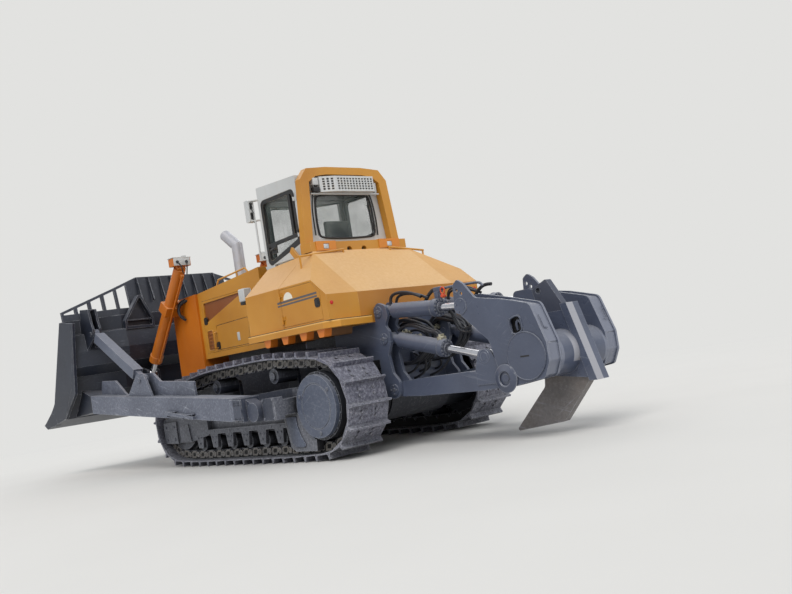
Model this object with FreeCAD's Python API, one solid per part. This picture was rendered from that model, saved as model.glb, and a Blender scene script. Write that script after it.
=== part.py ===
import FreeCAD, Part
import math
import os

# A large crawler bulldozer with a semi-U blade and a single shank parallelogram ripper.
# Millimetres. +X forward, +Y the machine's left, +Z up. Sizes along X are measured from the
# sprocket axis while modelling, and every solid is moved by frame_shift_x when it is written,
# so that the origin lies on the ground under the middle of the machine.
V = FreeCAD.Vector

frame_shift_x = -1855.0

# Undercarriage
track_gauge = 2180.0
shoe_width = 610.0
track_pitch = 228.6
sprocket_z = 659.0
sprocket_tip_radius = 640.0
idler_x = 3480.0
idler_z = 620.0
idler_tip_radius = 604.0
pin_to_rail = 58.0
pin_to_shoe = 64.0
shoe_plate = 18.0
grouser_height = 62.0
rail_inner_y = 72.0
rail_outer_y = 150.0
roller_radius = 98.0
roller_first_x = 600.0
roller_last_x = 2950.0
roller_count = 7
carrier_radius = 96.0
carriers = [(1010.0, 1241.0), (2400.0, 1216.0)]     # x, height of the chain pins above it
seat_gap = 0.3

# Track frame and final drive
frame_half_width = 130.0
frame_rear_x = 545.0
frame_front_x = 3000.0
frame_bottom_z = 400.0
frame_top_z = 905.0
cheek_gap = 12.0
cheek_plate = 48.0
drive_cover_radius = 375.0
drive_cover_y = 1420.0
drive_rim_radius = 405.0
drive_rim_y = (1255.0, 1365.0)
guard_radius = 425.0
block_x = (460.0, 715.0)
block_z = (565.0, 835.0)
block_y = 1680.0

# Hull between the tracks
hull_half_width = 440.0
hull_bottom_z = 430.0
hull_rear_x = -330.0
hull_front_x = 4250.0
hull_case_x = 1300.0
hull_deck_z = 1200.0

# Blade group
trunnion_x = 850.0
trunnion_z = 690.0
arm_gap = 130.0
arm_width = 270.0
arm_inner_y = (track_gauge + shoe_width) / 2 + arm_gap
arm_outer_y = arm_inner_y + arm_width
arm_rear_x = 990.0
ball_radius = 118.0
blade_overhang = 175.0
blade_half_width = arm_outer_y + blade_overhang
blade_knee_y = 1150.0
wing_advance = 350.0
guard_foot = (5195.0, 2450.0)           # x, z
guard_top = (5315.0, 3065.0)            # x, z
guard_end_z = 2600.0
guard_middle_half_width = 730.0
guard_plate = 40.0
guard_post_pitch = 200.0
guard_rib_depth = 45.0
blade_wall = 45.0
arm_front_x = 5220.0
brace_y = arm_inner_y + arm_width / 2
brace_low = (3660.0, 1330.0)            # x, z
brace_high = (5050.0, 2175.0)           # x, z
brace_eye_half_width = 38.0
brace_section = 150.0
lift_y = 800.0
lift_trunnion = (4200.0, 2375.0)        # x, z
lift_barrel_top = 740.0
lift_barrel_low = 1000.0
lift_eye = (5050.0, 1420.0)             # x, z
lift_barrel_radius = 92.0
lift_rod_radius = 45.0
lift_pin_radius = 60.0
lift_bearing_y = 690.0
lift_eye_half_width = 60.0
lift_eye_play = 6.0

# Ripper group, x and z of the pins
ripper_arm_pin = (-520.0, 700.0)
ripper_beam_pin = (-2290.0, 680.0)
tilt_front_pin = (-440.0, 1650.0)
tilt_rear_pin = (-1800.0, 1520.0)
ripper_lift_front_pin = (-470.0, 1320.0)
ripper_lift_rear_pin = (-1990.0, 940.0)
ripper_half_width = 620.0
ripper_box_width = 220.0
ripper_cheek = 40.0
ripper_box_cheek = 30.0
cylinder_y = 510.0
ripper_eye_half_width = 60.0
ripper_rod_radius = 42.0
ripper_ear_inner = 46.0
ripper_ear_outer = 74.0
ripper_side_play = 5.0
ripper_pin_radius = 40.0
shank_half_width = 45.0
shank_eye = (-2430.0, 1550.0)            # x, z

# Bodywork
deck_rear_x = -355.0
deck_front_x = 1310.0
deck_half_width = 1300.0
deck_bottom_z = 1630.0
ledge_height = 90.0
deck_side_top_z = 2140.0
deck_rear_top_z = 1930.0
deck_top_z = 2560.0
deck_top_front_z = deck_top_z - 70
deck_ridge_x = 400.0
deck_top_half_width = 800.0
tank_half_width = 820.0
door_split_x = 560.0
panel = 30.0
ledge_end_y = 700.0
lug_stations = (-170.0, 180.0, 560.0, 940.0)
rail_x = 360.0
rail_radius = 13.0
rail_z = (deck_top_z + 5, deck_top_z - 60)          # near the middle, far out
grab_rails = ((340.0, 1050.0), (-480.0, -1090.0))   # y near the middle, y far out
door_gap = 5.0
pane_gap = 0.3
hinge_radius = 12.0
hinge_standoff = 16.0
cab_half_width = 750.0
cab_rear_x = 620.0
cab_side_front_x = 1500.0
cab_nose_x = 1830.0
cab_nose_half_width = 420.0
cab_floor_z = deck_top_z - 490
rops_rear_x = 400.0
rops_post_rear_x = 510.0
rops_post_inner_y = 605.0
rops_post_outer_y = 745.0
rops_foot_spread = 80.0
rops_height = 1135.0
rops_top_z = deck_top_z + rops_height
rops_beam = 100.0
rops_base_top_z = deck_top_z + 120
cab_roof_rear_z = rops_top_z - 95
cab_roof_front_z = cab_roof_rear_z + 40
corner_lamp_x = (1565.0, 1665.0)
corner_lamp_y = (cab_half_width + 25, cab_half_width + 115)
corner_lamp_z = (cab_roof_rear_z - 405, cab_roof_rear_z - 105)
corner_bar_z = deck_top_z + 90
hood_half_width = 600.0
hood_rear_x = 1940.0
hood_front_x = 3650.0
hood_top_rear_z = deck_top_z + 70
hood_top_front_z = hood_top_rear_z - 120
hood_rail_x = (2250.0, 3130.0)
hood_rail_height = 80.0
hood_bottom_z = 1500.0
guard_front_x = 4390.0
guard_half_width = 640.0
exhaust_y = 160.0
exhaust_elbow = (3035.0, hood_top_front_z + 620)    # x, z
exhaust_mouth = (3320.0, hood_top_front_z + 840)    # x, z
exhaust_radius = 85.0
guard_bottom_z = 1240.0


def box(x_low, x_high, y_low, y_high, z_low, z_high):
    """A block between two corners."""
    return Part.makeBox(x_high - x_low, y_high - y_low, z_high - z_low, V(x_low, y_low, z_low))


def round_outline(corners, place):
    """A closed wire of straight runs and tangent arcs; each corner is (u, v, radius)."""
    count = len(corners)
    edges = []
    previous_end = None
    first_start = None
    for i in range(count):
        here = corners[i]
        before = corners[i - 1]
        after = corners[(i + 1) % count]
        radius = here[2] if len(here) > 2 else 0.0
        corner = V(here[0], here[1], 0)
        to_before = V(before[0], before[1], 0).sub(corner)
        to_after = V(after[0], after[1], 0).sub(corner)
        if radius > 0:
            half_angle = to_before.getAngle(to_after) / 2
            cut = radius / math.tan(half_angle)
            start = corner + to_before.normalize() * cut
            end = corner + to_after.normalize() * cut
            inward = (to_before + to_after).normalize()
            middle = corner + inward * (radius / math.sin(half_angle) - radius)
            arc = Part.Arc(place(start), place(middle), place(end)).toShape()
        else:
            start = end = corner
            arc = None
        if previous_end is not None and previous_end.distanceToPoint(start) > 1e-6:
            edges.append(Part.LineSegment(place(previous_end), place(start)).toShape())
        if arc is not None:
            edges.append(arc)
        if first_start is None:
            first_start = start
        previous_end = end
    if previous_end.distanceToPoint(first_start) > 1e-6:
        edges.append(Part.LineSegment(place(previous_end), place(first_start)).toShape())
    return Part.Wire(edges)


def plate_xz(corners, y_low, y_high):
    """A plate standing along the machine, cut to an outline of (x, z, corner radius)."""
    wire = round_outline(corners, lambda p: V(p.x, y_low, p.y))
    return Part.Face(wire).extrude(V(0, y_high - y_low, 0))


def plate_xy(corners, z_low, z_high):
    """A flat plate cut to an outline of (x, y, corner radius)."""
    wire = round_outline(corners, lambda p: V(p.x, p.y, z_low))
    return Part.Face(wire).extrude(V(0, 0, z_high - z_low))


def plate_yz(corners, x_low, x_high):
    """A plate across the machine, cut to an outline of (y, z, corner radius)."""
    wire = round_outline(corners, lambda p: V(x_low, p.x, p.y))
    return Part.Face(wire).extrude(V(x_high - x_low, 0, 0))


def drum_y(x, z, radius, y_low, y_high):
    """A round piece whose axis lies across the machine."""
    return Part.makeCylinder(radius, y_high - y_low, V(x, y_low, z), V(0, 1, 0))


def rod_between(start, end, radius):
    """A round bar between two points."""
    along = end.sub(start)
    return Part.makeCylinder(radius, along.Length, start, along)


def flat_bar(start, end, width, thickness, side):
    """A straight bar of rectangular section; its width lies along side."""
    along = end.sub(start)
    across = V(side.x, side.y, side.z).normalize() * (width / 2)
    up = along.cross(side).normalize() * (thickness / 2)
    ring = [start - across - up, start + across - up, start + across + up, start - across + up]
    return Part.Face(Part.makePolygon(ring + [ring[0]])).extrude(along)


def join(shapes):
    """One solid from pieces that touch."""
    return shapes[0].multiFuse(shapes[1:]) if len(shapes) > 1 else shapes[0]


def other_side(shape):
    """The same piece on the machine's right."""
    return shape.mirror(V(0, 0, 0), V(0, 1, 0))


def both_sides(shape):
    """A left piece and its right twin, in one node."""
    return Part.makeCompound([shape, other_side(shape)])


# Track
tip_to_pin = pin_to_shoe + shoe_plate + grouser_height


def chain_circles():
    """The round stretches of the chain's pin line as (x, z, radius), from the sprocket over the top."""
    run_radius = roller_radius + pin_to_rail
    run_z = tip_to_pin + run_radius
    circles = [(0.0, sprocket_z, sprocket_tip_radius - tip_to_pin)]
    for x, pin_z in carriers:
        pin_radius = carrier_radius + pin_to_rail
        circles.append((x, pin_z - pin_radius, pin_radius))
    circles.append((idler_x, idler_z, idler_tip_radius - tip_to_pin))
    circles.append((roller_last_x, run_z, run_radius))
    circles.append((roller_first_x, run_z, run_radius))
    return circles


def chain_tangents():
    """For each pair of neighbouring circles, the outside tangent as two (x, z) points."""
    circles = chain_circles()
    tangents = []
    for i in range(len(circles)):
        x0, z0, r0 = circles[i]
        x1, z1, r1 = circles[(i + 1) % len(circles)]
        length = math.hypot(x1 - x0, z1 - z0)
        along = math.atan2(z1 - z0, x1 - x0)
        lean = math.acos((r0 - r1) / length)
        out = along + lean
        tangents.append(((x0 + r0 * math.cos(out), z0 + r0 * math.sin(out)),
                         (x1 + r1 * math.cos(out), z1 + r1 * math.sin(out))))
    return tangents


def chain_pins():
    """The chain's pin centres, evenly spaced round the loop."""
    circles = chain_circles()
    tangents = chain_tangents()
    path = []
    arc_step = math.radians(3.0)
    for i in range(len(circles)):
        x, z, radius = circles[i]
        arrive = tangents[i - 1][1]
        leave = tangents[i][0]
        begin = math.atan2(arrive[1] - z, arrive[0] - x)
        finish = math.atan2(leave[1] - z, leave[0] - x)
        while finish > begin:
            finish -= 2 * math.pi
        steps = max(1, int((begin - finish) / arc_step))
        for k in range(steps + 1):
            angle = begin + (finish - begin) * k / steps
            path.append((x + radius * math.cos(angle), z + radius * math.sin(angle)))
    path.append(path[0])
    lengths = [math.dist(path[i], path[i + 1]) for i in range(len(path) - 1)]
    total = sum(lengths)
    count = round(total / track_pitch)
    pins = []
    walked = 0.0
    i = 0
    for k in range(count):
        target = total * k / count
        while walked + lengths[i] < target:
            walked += lengths[i]
            i += 1
        share = (target - walked) / lengths[i]
        x = path[i][0] + (path[i + 1][0] - path[i][0]) * share
        z = path[i][1] + (path[i + 1][1] - path[i][1]) * share
        pins.append((x, z))
    return pins


# One shoe in outline: share of the pitch, height above the pin line
shoe_outline = [
    (0.05, pin_to_shoe + shoe_plate),
    (0.09, tip_to_pin),
    (0.19, tip_to_pin),
    (0.24, pin_to_shoe + shoe_plate),
    (1.00, pin_to_shoe + shoe_plate * 0.6),
]
rail_outline = [
    (0.00, -pin_to_rail * 0.25),
    (0.18, -pin_to_rail),
    (0.82, -pin_to_rail),
]


def loop_outline(pins, outline):
    """Points of an outline repeated on every link of the chain."""
    points = []
    for i in range(len(pins)):
        x0, z0 = pins[i]
        x1, z1 = pins[(i + 1) % len(pins)]
        along = V(x1 - x0, 0, z1 - z0)
        out = V(-along.z, 0, along.x).normalize()
        for share, height in outline:
            points.append(V(x0, 0, z0) + along * share + out * height)
    return points


def loop_band(outer_points, inner_points, y_low, y_high):
    """A closed band between two loops."""
    faces = []
    for points in (outer_points, inner_points):
        shifted = [V(p.x, y_low, p.z) for p in points]
        faces.append(Part.Face(Part.makePolygon(shifted + [shifted[0]])))
    return faces[0].cut(faces[1]).extrude(V(0, y_high - y_low, 0))


def track_loop():
    """The left track: shoes with their grousers, and the two rails of the chain."""
    pins = chain_pins()
    middle = track_gauge / 2
    shoe_back = loop_outline(pins, [(0.5, pin_to_shoe)])
    outer = loop_outline(pins, shoe_outline)
    inner = loop_outline(pins, rail_outline)
    shoes = loop_band(outer, shoe_back, middle - shoe_width / 2, middle + shoe_width / 2)
    rail_top = loop_outline(pins, [(0.5, pin_to_shoe + 6)])
    rails = [loop_band(rail_top, inner, middle + rail_inner_y, middle + rail_outer_y),
             loop_band(rail_top, inner, middle - rail_outer_y, middle - rail_inner_y)]
    return join([shoes] + rails)


def roller(x, z, radius):
    """A roller between its brackets, under both rails."""
    middle = track_gauge / 2
    reach = rail_outer_y + cheek_gap + 1
    return drum_y(x, z, radius, middle - reach, middle + reach)


def wheel_tread(tip_radius):
    """The radius that the chain's rails lie on, where the links bridge a circle of pins."""
    pin_radius = tip_radius - tip_to_pin
    bridge = math.sqrt(pin_radius ** 2 - (track_pitch / 2) ** 2)
    return bridge - pin_to_rail - seat_gap - 1


def wheel_height(x, radius, on_top):
    """The height of a roller's axis against the links near it, under the top run or on the bottom run."""
    pins = chain_pins()
    reach = radius + pin_to_rail + seat_gap
    heights = []
    for i in range(len(pins)):
        x0, z0 = pins[i]
        x1, z1 = pins[(i + 1) % len(pins)]
        is_top = z0 > idler_z and x1 > x0
        is_bottom = z0 < idler_z and x1 < x0
        if (on_top and not is_top) or (not on_top and not is_bottom):
            continue
        if max(x0, x1) < x - track_pitch or min(x0, x1) > x + track_pitch:
            continue
        slope = (z1 - z0) / (x1 - x0)
        offset = reach * math.hypot(1, slope)
        heights.append(z0 + slope * (x - x0) + (-offset if on_top else offset))
    return min(heights) if on_top else max(heights)


def sprocket_guard(y_low, y_high):
    """The curved plate that keeps stones off the sprocket's lower front."""
    lower = math.radians(-68)
    upper = math.radians(-8)
    middle = (lower + upper) / 2
    points = [V(guard_radius * math.cos(a), y_low, sprocket_z + guard_radius * math.sin(a))
              for a in (lower, middle, upper)]
    corners = [points[2], V(770, y_low, 600), V(690, y_low, 190), V(600, y_low, 135), V(180, y_low, 130),
               points[0]]
    edges = [Part.LineSegment(a, b).toShape() for a, b in zip(corners, corners[1:])]
    edges.append(Part.Arc(*points).toShape())
    return Part.Face(Part.Wire(edges)).extrude(V(0, y_high - y_low, 0))


def carrier(x):
    """A carrier roller with its flanges, on a bracket that stands on the frame."""
    middle = track_gauge / 2
    z = wheel_height(x, carrier_radius, True)
    reach = rail_outer_y + 4
    inner = middle - reach
    pieces = [drum_y(x, z, carrier_radius, inner, middle + reach)]
    pieces.append(drum_y(x, z, carrier_radius * 0.55, inner - 70, middle + reach + 30))
    post = plate_xz([(x - 75, frame_top_z - 120), (x + 190, frame_top_z - 120), (x + 70, z + 50, 40),
                     (x - 70, z + 50, 40)], inner - 60, inner - 5)
    pieces.append(post)
    pieces.append(box(x - 75, x + 190, inner - 60, middle, frame_top_z - 120, frame_top_z - 60))
    return pieces


def track_frame():
    """The left track frame with its rollers, carriers, idler fork, sprocket guard and push arm trunnion."""
    middle = track_gauge / 2
    beam = plate_xz([(frame_rear_x, 500), (frame_rear_x + 110, frame_bottom_z),
                     (frame_front_x, frame_bottom_z),
                     (frame_front_x, 790), (2600, 850), (900, frame_top_z), (frame_rear_x + 60, frame_top_z),
                     (frame_rear_x, 800)], middle - frame_half_width, middle + frame_half_width)
    pieces = [beam]
    cheek_inner = rail_outer_y + cheek_gap
    roller_z = tip_to_pin + pin_to_rail + roller_radius + seat_gap
    pitch = (roller_last_x - roller_first_x) / (roller_count - 1)
    stations = [roller_first_x + pitch * k for k in range(roller_count)]
    for side in (-1, 1):
        low = middle + side * (cheek_inner + cheek_plate / 2) - cheek_plate / 2
        fork = plate_xz([(2700, 420), (3200, 340), (3800, 350, 80), (3955, 560, 60),
                         (3930, 690, 60), (3500, 740), (2700, 800)], low, low + cheek_plate)
        pieces.append(fork)
        pieces.append(box(2700, frame_front_x, min(low, middle), max(low + cheek_plate, middle), 480, 760))
        for x in stations:
            pieces.append(plate_xz([(x - 60, roller_z - 55), (x + 60, roller_z - 55),
                                    (x + 105, frame_bottom_z + 90),
                                    (x - 105, frame_bottom_z + 90)], low, low + cheek_plate))
        pieces.append(box(roller_first_x - 50, 2800, min(low, middle), max(low + cheek_plate, middle),
                          frame_bottom_z + 30, frame_bottom_z + 90))
    for x in stations:
        pieces.append(roller(x, wheel_height(x, roller_radius, False), roller_radius))
    for x, _ in carriers:
        pieces += carrier(x)
    outer = middle + cheek_inner + cheek_plate
    pieces.append(plate_xz([(3530, 335), (3900, 345), (3900, 640), (3530, 655)], outer, outer + 30))
    pieces.append(plate_xz([(3160, 350), (3440, 380), (3440, 560), (3210, 600)], outer, outer + 22))
    pieces.append(sprocket_guard(middle + cheek_inner, outer + 60))
    pieces.append(box(frame_rear_x, frame_rear_x + 180, middle, outer + 60, 430, 600))
    pieces.append(box(block_x[0], block_x[1], middle + 45, block_y - 110, block_z[0] + 40, block_z[1] - 40))
    pieces.append(plate_xz([(block_x[0], block_z[0]), (block_x[1], block_z[0]), (block_x[1], block_z[1]),
                            (block_x[0], block_z[1])], block_y - 130, block_y))
    pieces.append(drum_y(trunnion_x, trunnion_z, 95, middle, arm_inner_y - 10))
    pieces.append(drum_y(trunnion_x, trunnion_z, 60, arm_inner_y - 40, arm_inner_y + 135))
    return join(pieces)


def idler():
    """The left front idler on its shaft."""
    middle = track_gauge / 2
    tread = wheel_tread(idler_tip_radius)
    half_width = rail_outer_y - 2
    hub_reach = rail_outer_y + cheek_gap - seat_gap
    flange = rail_inner_y - 3
    return join([drum_y(idler_x, idler_z, tread, middle - half_width, middle + half_width),
                 drum_y(idler_x, idler_z, tread + 28, middle - flange, middle + flange),
                 drum_y(idler_x, idler_z, 120, middle - hub_reach, middle + hub_reach)])


def final_drive():
    """The left sprocket with its teeth, drum, rim, cover and axle housing."""
    middle = track_gauge / 2
    teeth = 27
    half_tooth = 34
    pitch_radius = sprocket_tip_radius - tip_to_pin
    root = pitch_radius - 42
    tip = pitch_radius + 12
    points = []
    for k in range(teeth):
        for share, radius in ((0.0, root), (0.28, root), (0.42, tip), (0.58, tip), (0.72, root)):
            angle = 2 * math.pi * (k + share) / teeth
            points.append(V(radius * math.cos(angle), middle - half_tooth,
                            sprocket_z + radius * math.sin(angle)))
    gear = Part.Face(Part.makePolygon(points + [points[0]])).extrude(V(0, 2 * half_tooth, 0))
    near, far = drive_rim_y
    drums = [(300, hull_half_width + 60, middle), (350, middle, near), (drive_rim_radius, near, far),
             (drive_cover_radius, far, drive_cover_y)]      # radius, first y, last y
    pieces = [gear] + [drum_y(0, sprocket_z, radius, low, high) for radius, low, high in drums]
    face = drive_cover_y - 8
    groove = drum_y(0, sprocket_z, 276, face, drive_cover_y + 5).cut(drum_y(0, sprocket_z, 262, face,
                                                                            drive_cover_y + 5))
    return join(pieces).cut(groove)


# Hull and rear frame
def main_frame():
    """The welded hull: belly, transmission case, engine rails and the two cross shafts."""
    belly = plate_xz([(hull_rear_x, 700, 80), (0, hull_bottom_z, 60), (3300, hull_bottom_z, 80),
                      (hull_front_x - 300, 720, 60), (hull_front_x, 900, 60), (hull_front_x, hull_deck_z, 20),
                      (hull_case_x, hull_deck_z), (hull_case_x, hood_bottom_z),
                      (hull_rear_x, hood_bottom_z, 40)],
                     -hull_half_width, hull_half_width)
    pieces = [belly]
    shaft_reach = track_gauge / 2 - frame_half_width
    pieces.append(drum_y(700, 600, 90, -shaft_reach, shaft_reach))
    bar_reach = track_gauge / 2 - rail_outer_y - cheek_gap - cheek_plate
    pieces.append(box(2780, 2960, -bar_reach, bar_reach, 620, 740))
    pieces.append(box(hull_rear_x, hull_case_x, -500, 500, hood_bottom_z, deck_bottom_z - ledge_height))
    pieces.append(drum_y(0, sprocket_z, 330, -hull_half_width - 60, hull_half_width + 60))
    pieces.append(box(3900, hull_front_x, -guard_half_width, guard_half_width, 1100, guard_bottom_z))
    return join(pieces)


def ledge_bottom_z():
    """The underside of the ledge, less a seat."""
    return deck_bottom_z - ledge_height - seat_gap


def ripper_plate(y_low, runs_on):
    """One upright plate of the ripper's front side; an outer one runs on over the axle housing."""
    axle_clear_z = sprocket_z + drive_rim_radius + 20
    ledge_z = ledge_bottom_z()
    corners = [(hull_rear_x, 640), (-500, 590, 60), (-620, 640, 90), (-620, 790, 90), (-530, 900, 60),
               (-500, 1120), (-580, 1260, 90), (-575, 1400, 60), (-520, 1470, 40), (-590, 1580, 50),
               (-570, 1710, 60), (-440, 1760, 50), (deck_rear_x - 6, 1700), (deck_rear_x - 6, ledge_z)]
    if runs_on:
        corners += [(460, ledge_z), (460, axle_clear_z), (hull_rear_x, axle_clear_z)]
    else:
        corners.append((hull_rear_x, ledge_z))
    return plate_xz(corners, y_low, y_low + ripper_cheek)


def rear_frame():
    """The upright plates that carry the ripper and its cylinders, with their pins and back plate."""
    reach = ripper_eye_half_width + ripper_side_play
    outer = cylinder_y + reach
    left = [ripper_plate(cylinder_y - reach - ripper_cheek, False), ripper_plate(outer, True)]
    for x, z in (ripper_arm_pin, ripper_lift_front_pin, tilt_front_pin):
        left.append(drum_y(x, z, ripper_pin_radius, cylinder_y - reach - ripper_cheek - 12,
                           outer + ripper_cheek))
        left.append(drum_y(x, z, ripper_pin_radius + 28, outer + ripper_cheek, outer + ripper_cheek + 14))
    half = outer + ripper_cheek
    back = box(hull_rear_x - 60, hull_rear_x, -half, half, 640, ledge_bottom_z())
    return join([back] + left + [other_side(piece) for piece in left])


# Deck, cabinets and tank
def deck_form(inset=0.0):
    """The hipped outer form of tank and side cabinets, drawn in along its skin by an inset."""
    side = plate_xz([(deck_rear_x + inset, deck_bottom_z), (deck_front_x, deck_bottom_z),
                     (deck_front_x, deck_top_front_z - inset), (deck_ridge_x, deck_top_z - inset),
                     (deck_rear_x + inset, deck_rear_top_z - inset)], -deck_half_width, deck_half_width)
    half = deck_half_width - inset
    top_half = deck_top_half_width
    across = plate_yz([(-half, deck_bottom_z), (half, deck_bottom_z), (half, deck_side_top_z - inset),
                       (top_half, deck_top_z - inset), (-top_half, deck_top_z - inset),
                       (-half, deck_side_top_z - inset)], deck_rear_x - 10, deck_front_x + 10)
    return side.common(across)


def deck_slope_z(x):
    """The height of the deck's rear slope."""
    rise = (deck_top_z - deck_rear_top_z) / (deck_ridge_x - deck_rear_x)
    return deck_rear_top_z + rise * (x - deck_rear_x)


def deck_slope_x(z):
    """Where the deck's rear slope reaches a height."""
    return deck_rear_x + (z - deck_rear_top_z) * (deck_ridge_x - deck_rear_x) / (deck_top_z - deck_rear_top_z)


def cab_well():
    """The space in the deck that the cab's foot stands in."""
    return box(cab_rear_x - 10, deck_front_x + 20, -cab_half_width + 20, cab_half_width - 20,
               cab_floor_z, deck_top_z + 10)


def fuel_tank():
    """The tank across the rear, from the middle out to the side cabinets, on its ledge."""
    keep = box(deck_rear_x - 10, deck_front_x, -tank_half_width, tank_half_width, deck_bottom_z - 10,
               deck_top_z + 10)
    ledge = box(deck_rear_x, deck_front_x, -tank_half_width, tank_half_width,
                deck_bottom_z - ledge_height, deck_bottom_z)
    tank = deck_form().common(keep).cut(cab_well())
    return join([tank, ledge])


def ledge_lug(x):
    """A bracket under the ledge: a tapered cup."""
    top = deck_bottom_z - ledge_height
    return plate_xz([(x - 75, top), (x + 75, top), (x + 45, top - 95, 25), (x - 45, top - 95, 25)],
                    tank_half_width + 60, deck_half_width + 10)


def side_cabinet():
    """The left cabinet beside the cab, open behind its service door, with its ledge and brackets."""
    keep = box(deck_rear_x - 10, deck_front_x + 10, tank_half_width, deck_half_width + 10,
               deck_bottom_z - 10, deck_top_z + 10)
    cabinet = deck_form().common(keep)
    wall = 60.0
    rear = deck_rear_x + 2 * wall
    top = deck_side_top_z - 1.5 * wall
    pocket = plate_xz([(rear, deck_bottom_z + wall), (door_split_x - wall, deck_bottom_z + wall),
                       (door_split_x - wall, top), (deck_slope_x(top + wall), top),
                       (rear, deck_slope_z(rear) - wall)],
                      tank_half_width + 80, deck_half_width - panel)
    seat = plate_xz(service_door_outline(0), deck_half_width - panel, deck_half_width + 5)
    seam = box(door_split_x - 3, door_split_x + 3, deck_top_half_width - 50, deck_half_width + 5,
               deck_bottom_z - 5, deck_top_z + 5).cut(deck_form(8))
    cabinet = cabinet.cut(pocket).cut(seat).cut(seam)
    ledge = box(deck_rear_x - 60, deck_front_x, tank_half_width, deck_half_width + 40,
                deck_bottom_z - ledge_height, deck_bottom_z)
    lip = box(deck_rear_x - 60, deck_rear_x, ledge_end_y, tank_half_width, deck_bottom_z - ledge_height,
              deck_bottom_z)
    corner = plate_xy([(deck_rear_x - 61, deck_half_width + 41), (deck_rear_x + 90, deck_half_width + 41),
                       (deck_rear_x - 61, deck_half_width - 110)], deck_bottom_z - ledge_height - 1,
                       deck_bottom_z + 1)
    pieces = [cabinet, ledge.cut(corner), lip] + [ledge_lug(x) for x in lug_stations]
    return join(pieces + service_hinges()[0])


def hinge(x, face_y, heights, toward_door):
    """Hinges on the left side as (fixed, moving) pieces; toward_door is +1 when the door lies ahead."""
    y = face_y + hinge_standoff
    length = 50.0
    leaf = 45.0
    fixed = []
    moving = []
    for z in heights:
        for low, high, group, side in ((z - length, z, fixed, -toward_door),
                                       (z + seat_gap, z + length, moving, toward_door)):
            knuckle = Part.makeCylinder(hinge_radius, high - low, V(x, y, low), V(0, 0, 1))
            x_far = x + side * leaf
            x_near = x + side * (door_gap / 2 + 2)
            plate = box(min(x_near, x_far), max(x_near, x_far), face_y, face_y + 8, low, high)
            arm = box(min(x, x_far), max(x, x_far), face_y + 3, face_y + 8, low, high)
            group.append(join([knuckle, plate, arm]))
    return fixed, moving


def service_door_outline(clearance):
    """The left service door's side view, drawn in by a clearance."""
    x_low = deck_rear_x + 110 + clearance
    x_high = door_split_x - 15 - clearance
    z_low = deck_bottom_z + 20 + clearance
    z_high = deck_side_top_z - 20 - clearance
    under = 30 + 1.4 * clearance
    top_x = deck_slope_x(z_high + under)
    return [(x_low, z_low), (x_high, z_low), (x_high, z_high), (top_x, z_high),
            (x_low, deck_slope_z(x_low) - under)]


def service_door():
    """The left service door, hinged at its front edge."""
    door = plate_xz(service_door_outline(door_gap), deck_half_width - panel + seat_gap, deck_half_width)
    return join([door] + service_hinges()[1])


def service_hinges():
    """The left service door's hinges."""
    return hinge(door_split_x - 15 - door_gap / 2, deck_half_width, (1740.0, 2030.0), -1)


# Hood
def hood_form(half_width, lower):
    """The hood's outer form, drawn in from its sides by a wall when lower is set."""
    top = lower
    return plate_xz([(deck_front_x, hood_bottom_z), (hood_front_x, hood_bottom_z),
                     (hood_front_x, hood_top_front_z - top), (hood_rear_x, hood_top_rear_z - top),
                     (hood_rear_x, deck_top_z - 100 - top), (deck_front_x, deck_top_z - 160 - top)],
                    -half_width, half_width)


engine_door_x = (hood_rear_x + 380, hood_front_x - 90)
engine_door_z = (hood_bottom_z + 80, hood_top_front_z - 130)


def engine_hinges():
    """The left engine door's hinges."""
    return hinge(engine_door_x[0] + door_gap / 2, hood_half_width, (1700.0, 2250.0), 1)


def engine_hood():
    """The hood shell round the engine, with its two door openings."""
    shell = hood_form(hood_half_width, 0.0)
    inside = box(hood_rear_x + 60, hood_front_x - 60, -hood_half_width + panel,
                 hood_half_width - panel, hood_bottom_z - 10, hood_top_front_z - 2 * panel)
    shell = shell.cut(inside)
    opening = box(engine_door_x[0], engine_door_x[1], -hood_half_width - 10, hood_half_width + 10,
                  engine_door_z[0], engine_door_z[1])
    fixed = engine_hinges()[0]
    return join([shell.cut(opening)] + fixed + [other_side(piece) for piece in fixed])


def engine_door():
    """The left engine door with its recessed triangle, the outline of its lower panel and a vent."""
    door = box(engine_door_x[0] + door_gap, engine_door_x[1] - door_gap, hood_half_width - panel,
               hood_half_width, engine_door_z[0] + door_gap, engine_door_z[1] - door_gap)
    rear, front = engine_door_x
    low, high = engine_door_z
    recess = plate_xz([(rear + 45, high - 20, 10), (front - 45, high - 40, 10), (front - 35, high - 350, 20)],
                      hood_half_width - 18, hood_half_width + 5)
    face = hood_half_width - 6
    outline = [(rear + 70, low + 20, 50), (front - 310, low + 20, 50), (front - 310, low + 390, 50),
               (rear + 30, low + 410, 50)]
    inner = [(rear + 79, low + 29, 42), (front - 319, low + 29, 42), (front - 319, low + 381, 42),
             (rear + 40, low + 401, 42)]
    groove = plate_xz(outline, face, hood_half_width + 5).cut(plate_xz(inner, face - 1, hood_half_width + 6))
    door = door.cut(recess).cut(groove)
    for k in range(4):
        door = door.cut(box(front - 260 + 50 * k, front - 230 + 50 * k, hood_half_width - 12,
                            hood_half_width + 5,
                            low + 40, low + 280))
    return join([door] + engine_hinges()[1])


def engine_block():
    """The engine as one block with its sump, on the hull's rails."""
    top = hood_top_front_z - 260
    block = box(hood_rear_x + 410, hood_front_x - 200, -330, 330, hull_deck_z + seat_gap, top)
    heads = box(hood_rear_x + 510, hood_front_x - 300, -250, 250, top, top + 130)
    return block.fuse(heads)


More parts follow.
